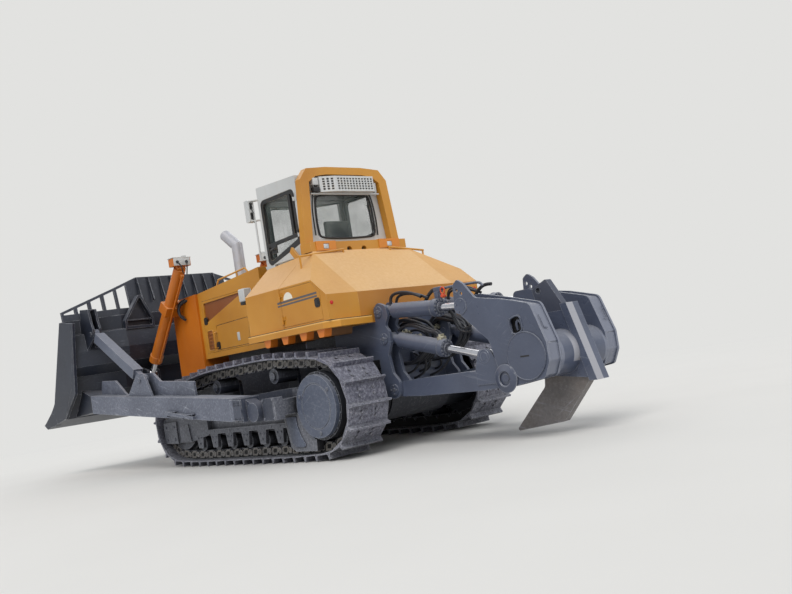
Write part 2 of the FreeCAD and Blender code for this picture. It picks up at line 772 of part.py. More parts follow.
def radiator_guard():
    """The radiator guard at the nose, with the bearings of the lift cylinders on its cheeks."""
    outline = [(hood_front_x, guard_bottom_z, 0), (guard_front_x, guard_bottom_z, 20),
               (guard_front_x, hood_top_front_z - 180, 60), (guard_front_x - 70, hood_top_front_z - 20, 40),
               (hood_front_x, hood_top_front_z, 0)]
    block = plate_xz(outline, -guard_half_width, guard_half_width)
    pocket = box(guard_front_x - 60, guard_front_x + 10, -guard_half_width + 90,
                 guard_half_width - 90, guard_bottom_z + 110, 2060)
    x, z = lift_trunnion
    boss = drum_y(x, z, 130, guard_half_width - 20, lift_bearing_y)
    bore = drum_y(x, z, lift_pin_radius + seat_gap, guard_half_width, lift_bearing_y + 5)
    bore = bore.fuse(other_side(bore))
    return join([block.cut(pocket), boss, other_side(boss)]).cut(bore)


def front_grille():
    """The grille in the guard's mouth: a frame with upright bars."""
    x_low = guard_front_x - 60
    z_low = guard_bottom_z + 110
    half = guard_half_width - 90
    frame = box(x_low, x_low + 30, -half, half, z_low, 2060)
    bars = 9
    slot = (2 * half - 80) / bars
    for k in range(bars):
        y = -half + 40 + slot * k
        frame = frame.cut(box(x_low - 5, x_low + 35, y + 12, y + slot - 12, z_low + 40, 2020))
    return frame


def exhaust_stack():
    """The exhaust pipe, cut and turned forward at its elbow, seated on the hood."""
    x, elbow_z = exhaust_elbow
    mouth = V(exhaust_mouth[0], exhaust_y, exhaust_mouth[1])
    elbow = V(x, exhaust_y, elbow_z)
    foot = V(x, exhaust_y, hood_top_front_z)
    along = mouth.sub(elbow).normalize()
    path = Part.makePolygon([foot, elbow, mouth])
    pipe = Part.Wire(path).makePipeShell([Part.Wire(Part.Circle(foot, V(0, 0, 1), exhaust_radius).toShape())],
                                         True, False, 1)
    collar = Part.makeCylinder(exhaust_radius + 12, 70, V(x, exhaust_y, hood_top_front_z + 70), V(0, 0, 1))
    mouth_bore = rod_between(mouth - along * 150, mouth + along * 5, exhaust_radius - 7)
    return pipe.fuse(collar).cut(mouth_bore).cut(hood_form(hood_half_width, 0.0))


# Cab
def cab_outline(inset, z_low, z_high):
    """The cab's plan, drawn in by a wall."""
    nose = cab_nose_half_width - inset * 0.4
    return plate_xy([(cab_rear_x + inset, -cab_half_width + inset),
                     (cab_side_front_x, -cab_half_width + inset),
                     (cab_nose_x - inset, -nose), (cab_nose_x - inset, nose),
                     (cab_side_front_x, cab_half_width - inset),
                     (cab_rear_x + inset, cab_half_width - inset)],
                    z_low, z_high)


cab_wall = 60.0
door_x = (680.0, 1450.0)
door_top_z = cab_roof_rear_z - 150
door_sill_z = (deck_top_z + 160, deck_top_z - 30)    # rear, front
door_border = 55.0
door_corner = 80.0
door_bar_x = (785.0, 835.0)
front_pane_z = (deck_top_z + 130, cab_roof_front_z - 210)
nose_pane_half_width = 360.0
sill_low_z = deck_top_z - 60


def cab_roof_cut():
    """What lies above the roof, which rises a little towards the front."""
    return plate_xz([(cab_rear_x - 50, cab_roof_rear_z), (cab_side_front_x - 20, cab_roof_front_z),
                     (cab_nose_x + 50, cab_roof_front_z - 70), (cab_nose_x + 50, cab_roof_front_z + 300),
                     (cab_rear_x - 50, cab_roof_front_z + 300)],
                    -cab_half_width - 50, cab_half_width + 50)


def door_outline(border):
    """The left cab door's side view, drawn in by a border; its sill rises to the rear."""
    rear_x, front_x = door_x
    rear_z, front_z = door_sill_z
    turn = door_corner - 0.6 * border
    return [(rear_x + border, rear_z + border * 1.3, turn / 2),
            (front_x - border, front_z + border * 1.3, turn),
            (front_x - border, door_top_z - border, turn), (rear_x + border, door_top_z - border, turn)]


def quarter_pane(near, far, border, clearance):
    """A block through the left slanting front wall between two depths, inside a border."""
    run = V(cab_nose_x - cab_side_front_x, cab_nose_half_width - cab_half_width, 0)
    out = V(-run.y, run.x, 0).normalize()
    along = V(run.x, run.y, 0).normalize()
    start = V(cab_side_front_x, cab_half_width, 0) + along * (border + clearance)
    length = run.Length - 2 * (border + clearance)
    z_low = front_pane_z[0] + clearance
    ring = [start - out * near, start + along * length - out * near, start + along * length - out * far,
            start - out * far]
    ring = [V(p.x, p.y, z_low) for p in ring]
    return Part.Face(Part.makePolygon(ring + [ring[0]])).extrude(V(0, 0, front_pane_z[1] - clearance - z_low))


def cab_shell():
    """The hollow cab with its windows and door apertures cut."""
    foot = cab_outline(30, cab_floor_z, deck_top_z)
    foot = foot.common(box(cab_rear_x, deck_front_x - 10, -cab_half_width + 30, cab_half_width - 30,
                           cab_floor_z, deck_top_z))
    upper = cab_outline(0, deck_top_z, cab_roof_front_z + 200).cut(cab_roof_cut())
    sill = plate_xz([(door_x[0], deck_top_z), (cab_side_front_x + 40, deck_top_z),
                     (cab_side_front_x, sill_low_z),
                     (deck_front_x + 5, sill_low_z), (deck_front_x + 5, deck_top_z - 5)], -cab_half_width,
                    cab_half_width)
    inside = cab_outline(cab_wall, deck_top_z + 20, cab_roof_rear_z - 160)
    inside = inside.fuse(box(cab_rear_x + 90, deck_front_x - 70, -cab_half_width + 90, cab_half_width - 90,
                             cab_floor_z + 40, deck_top_z + 25))
    shell = foot.fuse(upper).fuse(sill).cut(inside)
    doors = plate_xz(door_outline(0), -cab_half_width - 20, cab_half_width + 20)
    rear_window = plate_yz(rear_window_outline(0), cab_rear_x - 10, cab_rear_x + cab_wall + 10)
    low, high = front_pane_z
    front_window = box(cab_nose_x - cab_wall - 10, cab_nose_x + 10, -nose_pane_half_width,
                       nose_pane_half_width,
                       low, high)
    quarter = quarter_pane(-10, cab_wall + 20, 50, 0)
    fixed = cab_hinges()[0]
    for cutter in (doors, rear_window, front_window, quarter, other_side(quarter)):
        shell = shell.cut(cutter)
    return join([shell] + fixed + [other_side(piece) for piece in fixed])


def cab_hinges():
    """The left cab door's hinges."""
    return hinge(door_x[0] + door_gap / 2, cab_half_width, (door_sill_z[0] + 140, door_top_z - 120), 1)


def rear_window_outline(clearance):
    """The rear window seen from behind, drawn in by a clearance."""
    half = 500 - clearance
    low = deck_top_z + 195 + clearance
    high = cab_roof_rear_z - 255 - clearance
    return [(-half, low, 60), (half, low, 60), (half - 20, high, 20), (-half + 20, high, 20)]


def cab_glass():
    """The fixed panes at the front, the front corners and the rear."""
    rear = plate_yz(rear_window_outline(pane_gap), cab_rear_x + 20, cab_rear_x + 32)
    low, high = front_pane_z
    front = box(cab_nose_x - 40, cab_nose_x - 28, -nose_pane_half_width + pane_gap,
                nose_pane_half_width - pane_gap,
                low + pane_gap, high - pane_gap)
    quarter = quarter_pane(20, 32, 50, pane_gap)
    return Part.makeCompound([rear, front, quarter, other_side(quarter)])


def operator_seat():
    """The seat on its plinth, with side consoles."""
    base = cab_floor_z + 40.3
    seat = cab_floor_z + 330
    plinth = box(850, 1150, -180, 180, base, seat)
    cushion = box(820, 1220, -250, 250, seat, seat + 120)
    back = plate_xz([(800, seat + 80, 30), (900, seat + 80, 30), (860, seat + 650, 40),
                     (760, seat + 650, 40)],
                    -230, 230)
    rests = []
    for side in (-1, 1):
        rests.append(box(860, 1240, side * 330 - 70, side * 330 + 70, base, seat + 160))
        rests.append(box(900, 1000, min(side * 170, side * 270), max(side * 170, side * 270), seat - 100,
                         seat - 40))
    return join([plinth, cushion, back] + rests)


def cab_door():
    """The left door's frame, hinged at the rear, with its rail, upright bar and handle."""
    sill = door_sill_z[0]
    rear, front = door_x
    face = cab_half_width
    frame = plate_xz(door_outline(door_gap), face - 45, face)
    pane = plate_xz(door_outline(door_border), face - 60, face + 10)
    rail = plate_xz([(rear + door_border, sill + 105), (front - door_border, sill + 80),
                     (front - door_border, sill + 125), (rear + door_border, sill + 150)], face - 40,
                     face - 4)
    bar = box(*door_bar_x, face - 40, face - 4, sill + 120, door_top_z - door_border + 5)
    handle = rod_between(V(front - 220, face + 22, sill + 40), V(front - 120, face + 22, sill + 32), 11)
    feet = [box(x - 8, x + 8, face - 20, face + 22, sill + 25, sill + 45) for x in (front - 210, front - 130)]
    plate = box(front - 225, front - 110, face - 20, face, sill - 20, sill + 92)
    return join([frame.cut(pane), rail, bar, plate, handle] + feet + cab_hinges()[1])


def cab_door_glass():
    """The pane in the left door, behind its rail and handle plate."""
    return plate_xz(door_outline(door_border + pane_gap), cab_half_width - 42, cab_half_width - 40.3)


def hoop_outline(inset):
    """The roll-over hoop seen from behind; the posts lean in towards the top."""
    low = deck_top_z if inset == 0 else rops_base_top_z
    foot = rops_post_outer_y + rops_foot_spread if inset == 0 else rops_post_inner_y + rops_foot_spread
    head = rops_post_outer_y if inset == 0 else rops_post_inner_y
    shoulder = rops_top_z - 170 - inset * 0.35
    top = rops_top_z - 25 - inset
    ridge = rops_top_z - inset
    turn = head - 120
    crown = 310.0
    return [(-foot, low), (foot, low), (head, shoulder), (turn, top), (crown, ridge), (-crown, ridge),
            (-turn, top), (-head, shoulder)]


def base_lamp(y_low, y_high):
    """A lamp box on the base beam with its lens set back in it."""
    body = box(rops_rear_x - 15, rops_post_rear_x, y_low, y_high, deck_top_z + 5, rops_base_top_z + 8)
    lens = box(rops_rear_x - 16, rops_rear_x + 25, (y_low + y_high) / 2 - 45, (y_low + y_high) / 2 + 45,
               deck_top_z + 25, rops_base_top_z - 25)
    return body.cut(lens)


def rops_frame():
    """The roll-over frame: a hoop of two posts and a crowned top beam, and a base beam with its lamps."""
    hoop = plate_yz(hoop_outline(0), rops_post_rear_x, cab_rear_x - 5)
    hoop = hoop.cut(plate_yz(hoop_outline(rops_beam), rops_post_rear_x - 10, cab_rear_x + 10))
    half = rops_post_outer_y + rops_foot_spread
    beam = box(rops_rear_x, cab_rear_x - 5, -half, half, deck_top_z, rops_base_top_z)
    for y in (-60, 190):
        beam = beam.cut(Part.makeCylinder(42, 60, V(rops_rear_x - 1, y, deck_top_z + 8), V(1, 0, 0)))
    pieces = [hoop, beam.cut(deck_form()), base_lamp(420, 740), base_lamp(-700, -330)]
    x = cab_rear_x
    gusset = plate_xz([(x - 30, deck_top_z - 110), (x + 20, deck_top_z - 160), (x + 220, deck_top_z + 70),
                       (x + 170, deck_top_z + 130)], half - 25, half + 10)
    brace_foot = box(x - 20, x + 20, half - 60, half - 20, deck_top_z - 80, deck_top_z + 40)
    pieces += [(gusset.fuse(brace_foot)).cut(deck_form()),
               other_side(gusset.fuse(brace_foot)).cut(deck_form())]
    return join(pieces)


def corner_lamps():
    """The left pair of lamps before the cab's front corner, one above the other, with the grab bar below."""
    rear, front = corner_lamp_x
    inner, outer = corner_lamp_y
    low, high = corner_lamp_z
    middle = (inner + outer) / 2
    housing = plate_xz([(rear, low, 15), (front, low, 15), (front, high, 15), (rear, high, 15)], inner, outer)
    for share in (0.27, 0.73):
        z = low + share * (high - low)
        housing = housing.cut(Part.makeCylinder(36, 20, V(front - 20, middle, z), V(1, 0, 0)))
        housing = housing.cut(box(rear - 1, rear + 35, inner + 18, outer - 18, z - 48, z + 48))
    corner = cab_side_front_x
    side = cab_half_width
    seat = [(corner - 25, side), (corner, side), (corner + 30, side - 30)]
    arms = [plate_xy(seat + [(front - 15, inner + 10), (front - 15, outer - 10), (rear + 5, outer - 10)], z,
                     z + 14)
            for z in (low + 6, high - 20)]
    bar_x = rear - 25
    foot = plate_xy(seat + [(bar_x + 16, middle - 45), (bar_x + 16, middle), (bar_x - 16, middle)],
                    corner_bar_z,
                    corner_bar_z + 14)
    bar = rod_between(V(bar_x, middle - 16, corner_bar_z), V(bar_x, middle - 16, low + 20), rail_radius)
    return join([housing, foot, bar] + arms)


def ac_unit():
    """The air conditioner between the posts: a body with slanting ends, and its grille of slots."""
    rear = rops_rear_x + 35
    low = rops_top_z - 340
    high = rops_top_z - 135
    plan = [(rear, -440), (rear, 210), (rear + 65, 440), (cab_rear_x - 0.3, 440), (cab_rear_x - 0.3, -470),
            (rear + 65, -470)]
    body = plate_xy(plan, low, high)
    slots = []
    rows = 5
    pitch = (high - low - 40) / rows
    for row in range(rows):
        z = low + 20 + pitch * (row + 0.5)
        slots += [box(rear - 5, rear + 14, -420 + 52 * k, -420 + 52 * k + 34, z - 11,
                      z + 11) for k in range(12)]
    for slot in slots:
        body = body.cut(slot)
    slant = V(65, 230, 0)
    inward = V(230, -65, 0).normalize()
    along = V(slant.x, slant.y, 0).normalize()
    for row in range(rows):
        z = low + 20 + pitch * (row + 0.5)
        for k in range(3):
            start = V(rear, 210, z - 12) + along * (38 + 62 * k) - inward * 8
            ring = [start, start + along * 36, start + along * 36 + inward * 22, start + inward * 22]
            body = body.cut(Part.Face(Part.makePolygon(ring + [ring[0]])).extrude(V(0, 0, 24)))
    return body


def bent_rail(points, radius):
    """A tube along straight runs, mitred where it turns."""
    path = Part.makePolygon(points)
    ring = Part.Circle(points[0], points[1].sub(points[0]), radius).toShape()
    return Part.Wire(path).makePipeShell([Part.Wire(ring)], True, False, 1)


def handrails():
    """The rail along the hood's left edge and the two grab rails on the tank."""
    y = hood_half_width - 40
    fall = (hood_top_rear_z - hood_top_front_z) / (hood_front_x - hood_rear_x)
    rear, front = hood_rail_x

    def on_hood(x, height):
        return V(x, y, hood_top_rear_z - fall * (x - hood_rear_x) + height)
    middle = (2 * rear + front) / 3
    rails = [bent_rail([on_hood(rear, -5), on_hood(rear + 70, hood_rail_height),
                        on_hood(front - 70, hood_rail_height), on_hood(front, -5)], rail_radius),
             rod_between(on_hood(middle, -5), on_hood(middle, hood_rail_height - 2), rail_radius - 2)]
    shapes = [join(rails).cut(hood_form(hood_half_width, 0.0))]
    for near, far in grab_rails:
        run = V(rail_x, near, rail_z[0]).sub(V(rail_x, far, rail_z[1])).normalize() * 16
        rail = [rod_between(V(rail_x, near, rail_z[0]) + run, V(rail_x, far, rail_z[1]) - run,
                            rail_radius + 1)]
        for foot_y, top in ((near, rail_z[0]), (far, rail_z[1])):
            rail.append(rod_between(V(rail_x, foot_y, deck_side_top_z), V(rail_x, foot_y, top - 2),
                                    rail_radius - 1))
        shapes.append(join(rail).cut(deck_form()))
    return Part.makeCompound(shapes)


# Blade
# Moldboard section at the middle: front face from the top down, then the back, as x, z
blade_top = (5240.0, 2450.0)
blade_belly = (5560.0, 1560.0)
blade_tip = (6410.0, 870.0)


def blade_section(shift, y):
    """The blade's section at one station across the machine, moved forward by shift."""
    def at(x, z):
        return V(x + shift, y, z)
    back = [(6290, 800), (5600, 920), (5260, 1280), (5240, 1560), (5030, 1700), (4990, 1930), (5050, 2210),
            (5150, 2230), (5140, 2450)]
    corners = [at(*blade_tip)] + [at(x, z) for x, z in back] + [at(*blade_top)]
    edges = [Part.Arc(at(*blade_top), at(*blade_belly), at(*blade_tip)).toShape()]
    for start, end in zip(corners, corners[1:]):
        edges.append(Part.LineSegment(start, end).toShape())
    return Part.Wire(edges)


def wing_shift(y):
    """How far forward the blade lies at a station across the machine."""
    return wing_advance * max(0.0, abs(y) - blade_knee_y) / (blade_half_width - blade_knee_y)


def eye_bracket():
    """The left pair of ears for the lift cylinder's rod eye."""
    x, z = lift_eye
    ears = []
    for near in (lift_y - lift_eye_half_width - lift_eye_play - 40,
                 lift_y + lift_eye_half_width + lift_eye_play):
        ear = plate_xz([(x - 80, z - 90, 60), (5450, 1200, 10), (5450, 1500, 10), (5200, 1560, 20),
                        (x - 80, z + 80, 60)], near, near + 40)
        ears.append(ear)
    return ears


def arm_bracket():
    """The left bracket that the push arm's front end is fastened to."""
    return plate_xz([(arm_front_x, 965), (5900, 930), (5700, 1400), (arm_front_x, 1215)],
                    arm_inner_y, arm_outer_y)


def brace_bracket():
    """The left pair of tall gusset plates on the blade's back, with the pin of the brace's upper end."""
    x, z = brace_high
    ears = []
    for near in (brace_y - brace_eye_half_width - 36, brace_y + brace_eye_half_width + 1):
        ears.append(plate_xz([(x - 80, z - 70, 50), (5330, 1900, 10), (5400, 1950, 10), (5400, 2400, 10),
                              (5345, 2448, 5), (5345, 2600, 20), (5060, 2570, 20), (5010, 2350, 60),
                              (x - 80, z + 75, 40)], near, near + 35))
    ears.append(box(5130, 5300, brace_y - 75, brace_y + 75, 2550, 2572))
    ears.append(drum_y(x, z, 35, brace_y - brace_eye_half_width - 50, brace_y + brace_eye_half_width + 50))
    return ears


def blade_gable():
    """The left gable on the ledge of the blade's back: two sloping plates with a tie across."""
    outer = [(1145, 2200), (1145, 2340, 20), (870, 2735, 35), (815, 2735, 35), (640, 2340, 20), (640, 2200)]
    inner = [(1110, 2245), (1107, 2340, 20), (845, 2712, 20), (676, 2340, 20), (676, 2245)]
    frame = plate_yz(outer, 5022, 5125).cut(plate_yz(inner, 5012, 5108))
    tie = box(5040, 5120, 660, 1125, 2332, 2350)
    return frame.fuse(tie)


def side_cutter():
    """The straight wear plate on the blade's left end, with the bit below it."""
    y = blade_half_width
    plate = plate_xz([(5620, 2455), (5905, 1860), (6300, 1045), (6380, 960), (5860, 930), (5470, 1400),
                      (5260, 2000), (5200, 2390)], y - 30, y + 2)
    bit = plate_xz([(6740, 868), (6400, 1060), (6260, 1010), (6200, 880), (6330, 835)], y - 90, y + 2)
    return [plate, bit]


def end_plate():
    """The plate that closes the left end of the blade."""
    def at(x, z):
        return V(x + wing_advance, blade_half_width - blade_wall, z)
    back = [(6290, 800), (5510, 930), (5030, 1300), (4900, 1930), (4790, 2380)]
    corners = [at(*blade_tip)] + [at(x, z) for x, z in back] + [at(*blade_top)]
    edges = [Part.Arc(at(*blade_top), at(*blade_belly), at(*blade_tip)).toShape()]
    for start, end in zip(corners, corners[1:]):
        edges.append(Part.LineSegment(start, end).toShape())
    return Part.Face(Part.Wire(edges)).extrude(V(0, blade_wall, 0))


def blade():
    """The blade: a straight middle and two wings that reach forward."""
    middle = Part.Face(blade_section(0, -blade_knee_y)).extrude(V(0, 2 * blade_knee_y, 0))
    wing = Part.makeLoft([blade_section(0, blade_knee_y), blade_section(wing_advance, blade_half_width)],
                         True, True)
    left = [wing, end_plate(), arm_bracket(), blade_gable()] + eye_bracket() + brace_bracket() + side_cutter()
    return join([middle] + left + [other_side(piece) for piece in left])


def guard_point(y, z):
    """A point of the leaning guard above the blade's top edge."""
    lean = (guard_top[0] - guard_foot[0]) * (z - guard_foot[1]) / (guard_top[1] - guard_foot[1])
    return V(guard_foot[0] + lean + wing_shift(y), y, z)


def guard_top_z(y):
    """The height of the guard's top edge, which falls from the middle to the blade's ends."""
    share = (y - guard_middle_half_width) / (blade_half_width - guard_middle_half_width)
    return guard_top[1] + (guard_end_z - guard_top[1]) * share


def guard_panel(outline, thickness):
    """A flat piece of the leaning guard from its corners as y, z."""
    ring = [guard_point(y, z) - V(thickness / 2, 0, 0) for y, z in outline]
    return Part.Face(Part.makePolygon(ring + [ring[0]])).extrude(V(thickness, 0, 0))


def guard_wing(y_low, y_high, posts):
    """One bay of the guard's side: rails above and below, and windows between its posts."""
    foot = guard_foot[1]
    sheet = guard_panel([(y_low, foot), (y_high, foot), (y_high, guard_top_z(y_high)),
                         (y_low, guard_top_z(y_low))], guard_plate)
    pitch = (y_high - y_low) / posts
    for k in range(posts):
        near = y_low + pitch * k + 10
        far = y_low + pitch * (k + 1) - 35
        sheet = sheet.cut(guard_panel([(near, foot + 110), (far, foot + 110), (far, guard_top_z(far) - 45),
                                       (near, guard_top_z(near) - 45)], 3 * guard_plate))
    return sheet


def spill_guard():
    """The guard on the blade's top edge: a ribbed middle and slotted, sloping sides."""
    x, z = guard_foot
    half = guard_plate / 2
    lean = guard_top[0] - x
    flat = guard_middle_half_width
    pieces = [plate_xz([(x - half, z), (x + half, z), (x + lean + half, guard_top[1]),
                        (x + lean - half, guard_top[1])], -flat, flat)]
    count = round(2 * flat / guard_post_pitch)
    for k in range(count + 1):
        y = -flat + 2 * flat * k / count
        pieces.append(plate_xz([(x - half + 2, z + 190), (x + lean - half + 2, guard_top[1]),
                                (x + lean - half - guard_rib_depth, guard_top[1] - 10),
                                (x - half - guard_rib_depth, z + 210)], y - 8, y + 8))
    left = [guard_panel([(flat, z), (blade_knee_y, z), (blade_knee_y, z + 110), (flat + 200, z + 110),
                         (flat + 200, guard_top_z(flat + 200)), (flat, guard_top[1])], guard_plate)]
    left.append(guard_wing(flat + 200, blade_knee_y, 1))
    left.append(guard_wing(blade_knee_y, blade_half_width - half, 4))
    return join(pieces + left + [other_side(piece) for piece in left])


def push_arm():
    """The left push arm: a box girder with its ball, cap plate, step and upright gusset plates."""
    girder = [(arm_rear_x, 585), (arm_front_x, 950), (arm_front_x, 1225), (arm_rear_x, 880)]
    pieces = [plate_xz(girder, arm_inner_y, arm_outer_y)]
    pieces.append(plate_xz([(arm_rear_x + 5, 605), (arm_rear_x + 245, 626), (arm_rear_x + 245, 880),
                            (arm_rear_x + 5, 860)], arm_outer_y, arm_outer_y + 15))
    pieces.append(plate_xz([(2110, 690), (2820, 790), (2820, 840), (2110, 730)], arm_outer_y,
                           arm_outer_y + 50))
    ball_y = (arm_inner_y + 35, arm_outer_y - 55)
    pieces.append(drum_y(trunnion_x, trunnion_z, ball_radius, *ball_y))
    pieces.append(plate_xz([(trunnion_x, trunnion_z - 85), (arm_rear_x + 10, 600), (arm_rear_x + 10, 860),
                            (trunnion_x, trunnion_z + 85)], ball_y[0] + 15, ball_y[1] - 15))
    inner = brace_y - brace_eye_half_width - 1
    outer = brace_y + brace_eye_half_width + 1
    front_hump = [(5215, 1200), (5130, 1430, 30), (4680, 1400, 40), (4290, 1110)]
    long_hump = [(4230, 1090), (3880, 1290, 40), (3750, 1420, 40), (3470, 1410, 40), (3270, 1270, 60),
                 (2360, 1190, 20), (2350, 940)]
    short_hump = [(4120, 1090), (3740, 1420, 60), (3530, 1420, 60), (3330, 1020)]
    pieces.append(plate_xz(front_hump, inner - 35, inner))
    pieces.append(plate_xz(long_hump, inner - 35, inner))
    pieces.append(plate_xz(short_hump, outer, outer + 35))
    x, z = brace_low
    pieces.append(drum_y(x, z, 35, inner - 50, outer + 50))
    arm = join(pieces)
    return arm.cut(drum_y(trunnion_x, trunnion_z, 61, ball_y[0] - 5, arm_inner_y + 137))


def brace():
    """The left brace from the arm's hump up to the blade's corner."""
    low = V(brace_low[0], brace_y, brace_low[1])
    high = V(brace_high[0], brace_y, brace_high[1])
    along = high.sub(low).normalize()
    pieces = [flat_bar(low + along * 200, high - along * 130, brace_section, brace_section, V(0, 1, 0))]
    pieces.append(flat_bar(low, high, 2 * brace_eye_half_width, 90, V(0, 1, 0)))
    for end in (low, high):
        pieces.append(drum_y(end.x, end.z, 75, brace_y - brace_eye_half_width,
                             brace_y + brace_eye_half_width))
    bar = join(pieces)
    for end in (low, high):
        bar = bar.cut(drum_y(end.x, end.z, 35.3, brace_y - 2 * brace_eye_half_width,
                             brace_y + 2 * brace_eye_half_width))
    return bar


# Lift cylinders
def lift_direction():
    """Unit vector from the trunnion to the rod's eye."""
    return V(lift_eye[0] - lift_trunnion[0], 0, lift_eye[1] - lift_trunnion[1]).normalize()


def lift_barrel():
    """The left lift cylinder's barrel with the pin in the guard's bearing, its pipe and its lamps."""
    along = lift_direction()
    across = V(-along.z, 0, along.x)
    centre = V(lift_trunnion[0], lift_y, lift_trunnion[1])
    top = centre - along * lift_barrel_top
    low = centre + along * lift_barrel_low
    barrel = rod_between(top, low, lift_barrel_radius)
    head = rod_between(low - along * 110, low, lift_barrel_radius + 12)
    collar = flat_bar(centre - along * 80, centre + along * 80, 2 * lift_barrel_radius + 36,
                      2 * lift_barrel_radius + 30,
                      V(0, 1, 0))
    pin = drum_y(centre.x, centre.z, lift_pin_radius, guard_half_width + 3, lift_y)
    out = across * (lift_barrel_radius + 22)
    pipe = rod_between(top + along * 60 - out, low - along * 60 - out, 16)
    ports = [flat_bar(end + along * s - across * (lift_barrel_radius - 20),
                      end + along * s - out - across * 18, 44, 44,
                      along) for end, s in ((top, 70.0), (low, -70.0))]
    base = top - along * 45
    bracket = flat_bar(top - along * 50, top + along * 10, 130, 120, V(0, 1, 0))
    lamps = [box(base.x - 60, base.x + 75, lift_y + y - 72, lift_y + y + 72, base.z,
                 base.z + 120) for y in (-78, 78)]
    bore = rod_between(centre - along * 640, low + along * 5, lift_rod_radius + 0.05)
    return join([barrel, head, collar, pin, pipe, bracket] + ports + lamps).cut(bore)


def lift_rod():
    """The left lift cylinder's rod with its eye."""
    along = lift_direction()
    centre = V(lift_trunnion[0], lift_y, lift_trunnion[1])
    eye = V(lift_eye[0], lift_y, lift_eye[1])
    bar = rod_between(centre - along * 300, eye - along * 60, lift_rod_radius)
    ring = drum_y(eye.x, eye.z, 80, lift_y - lift_eye_half_width, lift_y + lift_eye_half_width)
    hole = drum_y(eye.x, eye.z, 38, lift_y - 2 * lift_eye_half_width, lift_y + 2 * lift_eye_half_width)
    return bar.fuse(ring).cut(hole)


# Ripper
def ripper_arm():
    """The lower arm: two legs with the lift rods' ears, joined by a cross plate."""
    ax, az = ripper_arm_pin
    bx, bz = ripper_beam_pin
    fx, fz = ripper_lift_rear_pin
    y_low = cylinder_y - ripper_eye_half_width
    y_high = cylinder_y + ripper_eye_half_width
    leg = plate_xz([(ax + 78, az - 78, 77), (ax + 78, az + 78, 77), (ax - 400, az + 95, 60),
                    (fx + 300, 800, 60),
                    (fx + 60, 785, 60), (bx - 85, bz + 85, 84), (bx - 85, bz - 85, 84), (-1900, 575, 80),
                    (ax - 400, az - 110, 80)], y_low, y_high)
    for side in (-1, 1):
        near = cylinder_y + side * (ripper_ear_inner + ripper_ear_outer) / 2
        half = (ripper_ear_outer - ripper_ear_inner) / 2
        leg = leg.fuse(plate_xz([(fx + 160, 640), (fx + 160, 790, 40), (fx + 78, fz + 78, 76),
                                 (fx - 78, fz + 78, 76), (fx - 190, 830, 60), (bx, bz + 110), (bx, 640)],
                                near - half, near + half))
        leg = leg.fuse(drum_y(fx, fz, 50, near - half, near + half))
    for x, z in (ripper_arm_pin, ripper_beam_pin):
        leg = leg.cut(drum_y(x, z, ripper_pin_radius + seat_gap, y_low - 40, y_high + 40))
    tie = box(-1850, -1300, -y_low, y_low, 605, 780)
    return join([leg, other_side(leg), tie])


def cheek_outline(ear):
    """The side view of a box cheek; the outer cheeks carry the ear for the tilt cylinder's pin."""
    bx, bz = ripper_beam_pin
    front = [(-1700, 1500, 60), (-1730, 1770, 40), (-1800, 1815, 30), (-1880, 1760, 60), (-2020, 1580, 80)]
    if not ear:
        front = [(-1700, 1500, 60), (-1700, 1625, 60), (-1930, 1625, 60)]
    return front + [(-2375, 1515, 60), (-2745, 1415, 90), (-2885, 1000, 40), (-2885, 800, 60),
                    (-2800, 640, 60),
                    (bx - 60, bz - 95, 60), (bx + 95, bz - 110, 60), (bx + 95, bz + 110, 60),
                    (-2130, 1100, 120)]


def ripper_box():
    """The left plate box of the ripper beam, open in front for the arm and the tilt cylinder."""
    bx, bz = ripper_beam_pin
    y_high = ripper_half_width
    y_low = ripper_half_width - ripper_box_width
    window = plate_xz([(-2436, 1287, 25), (-2600, 1321, 25), (-2622, 1145, 25), (-2462, 1112, 25)],
                      y_high - 60, y_high + 5)
    outer = plate_xz(cheek_outline(True), y_high - ripper_box_cheek, y_high)
    inner = plate_xz(cheek_outline(False), y_low, y_low + ripper_box_cheek)
    rear = [(-2375, 1495), (-2735, 1395, 80), (-2870, 1000), (-2870, 810, 40), (-2790, 655, 40), (-2560, 620),
            (-2540, 1300), (-2375, 1350)]
    cover = plate_xz(rear, y_low + ripper_box_cheek, y_high - ripper_box_cheek)
    seam = box(-2900, -2862, y_low + ripper_box_cheek, y_high - ripper_box_cheek, 984, 994)
    pin = drum_y(bx, bz, ripper_pin_radius, y_low, y_high + 10)
    disc = drum_y(-2606, 886, 250, y_high - 5, y_high + 12)
    boss = drum_y(bx, bz, 95, y_high - 5, y_high + 12)
    ear_disc = drum_y(tilt_rear_pin[0], tilt_rear_pin[1], 90, y_high - 5, y_high + 10)
    pieces = [outer, inner, cover.cut(seam), pin, disc, boss, ear_disc]
    body = join(pieces).cut(window)
    for x, z in ((-1770, 1700), (-1830, 1655)):
        body = body.cut(drum_y(x, z, 22, y_high - 60, y_high + 20))
    return body


def ripper_beam():
    """The beam that holds the shank: two plate boxes on a round tube, and the shank's pocket."""
    sides = ripper_box()
    y_low = ripper_half_width - ripper_box_width
    tube = drum_y(-2650, 865, 240, -y_low, y_low)
    holder_half = shank_half_width + 40
    holder = plate_xz([(-2320, 640, 30), (-2960, 560, 20), (-2780, 1300, 30), (-2400, 1300, 30)],
                      -holder_half, holder_half)
    bar = plate_xz([(-2950, 530), (-3050, 530), (-2815, 1370), (-2730, 1370)], -holder_half - 20,
                   holder_half + 20)
    slot = plate_xz(shank_outline(seat_gap), -shank_half_width - seat_gap, shank_half_width + seat_gap)
    return join([sides, other_side(sides), tube, holder, bar]).cut(slot)


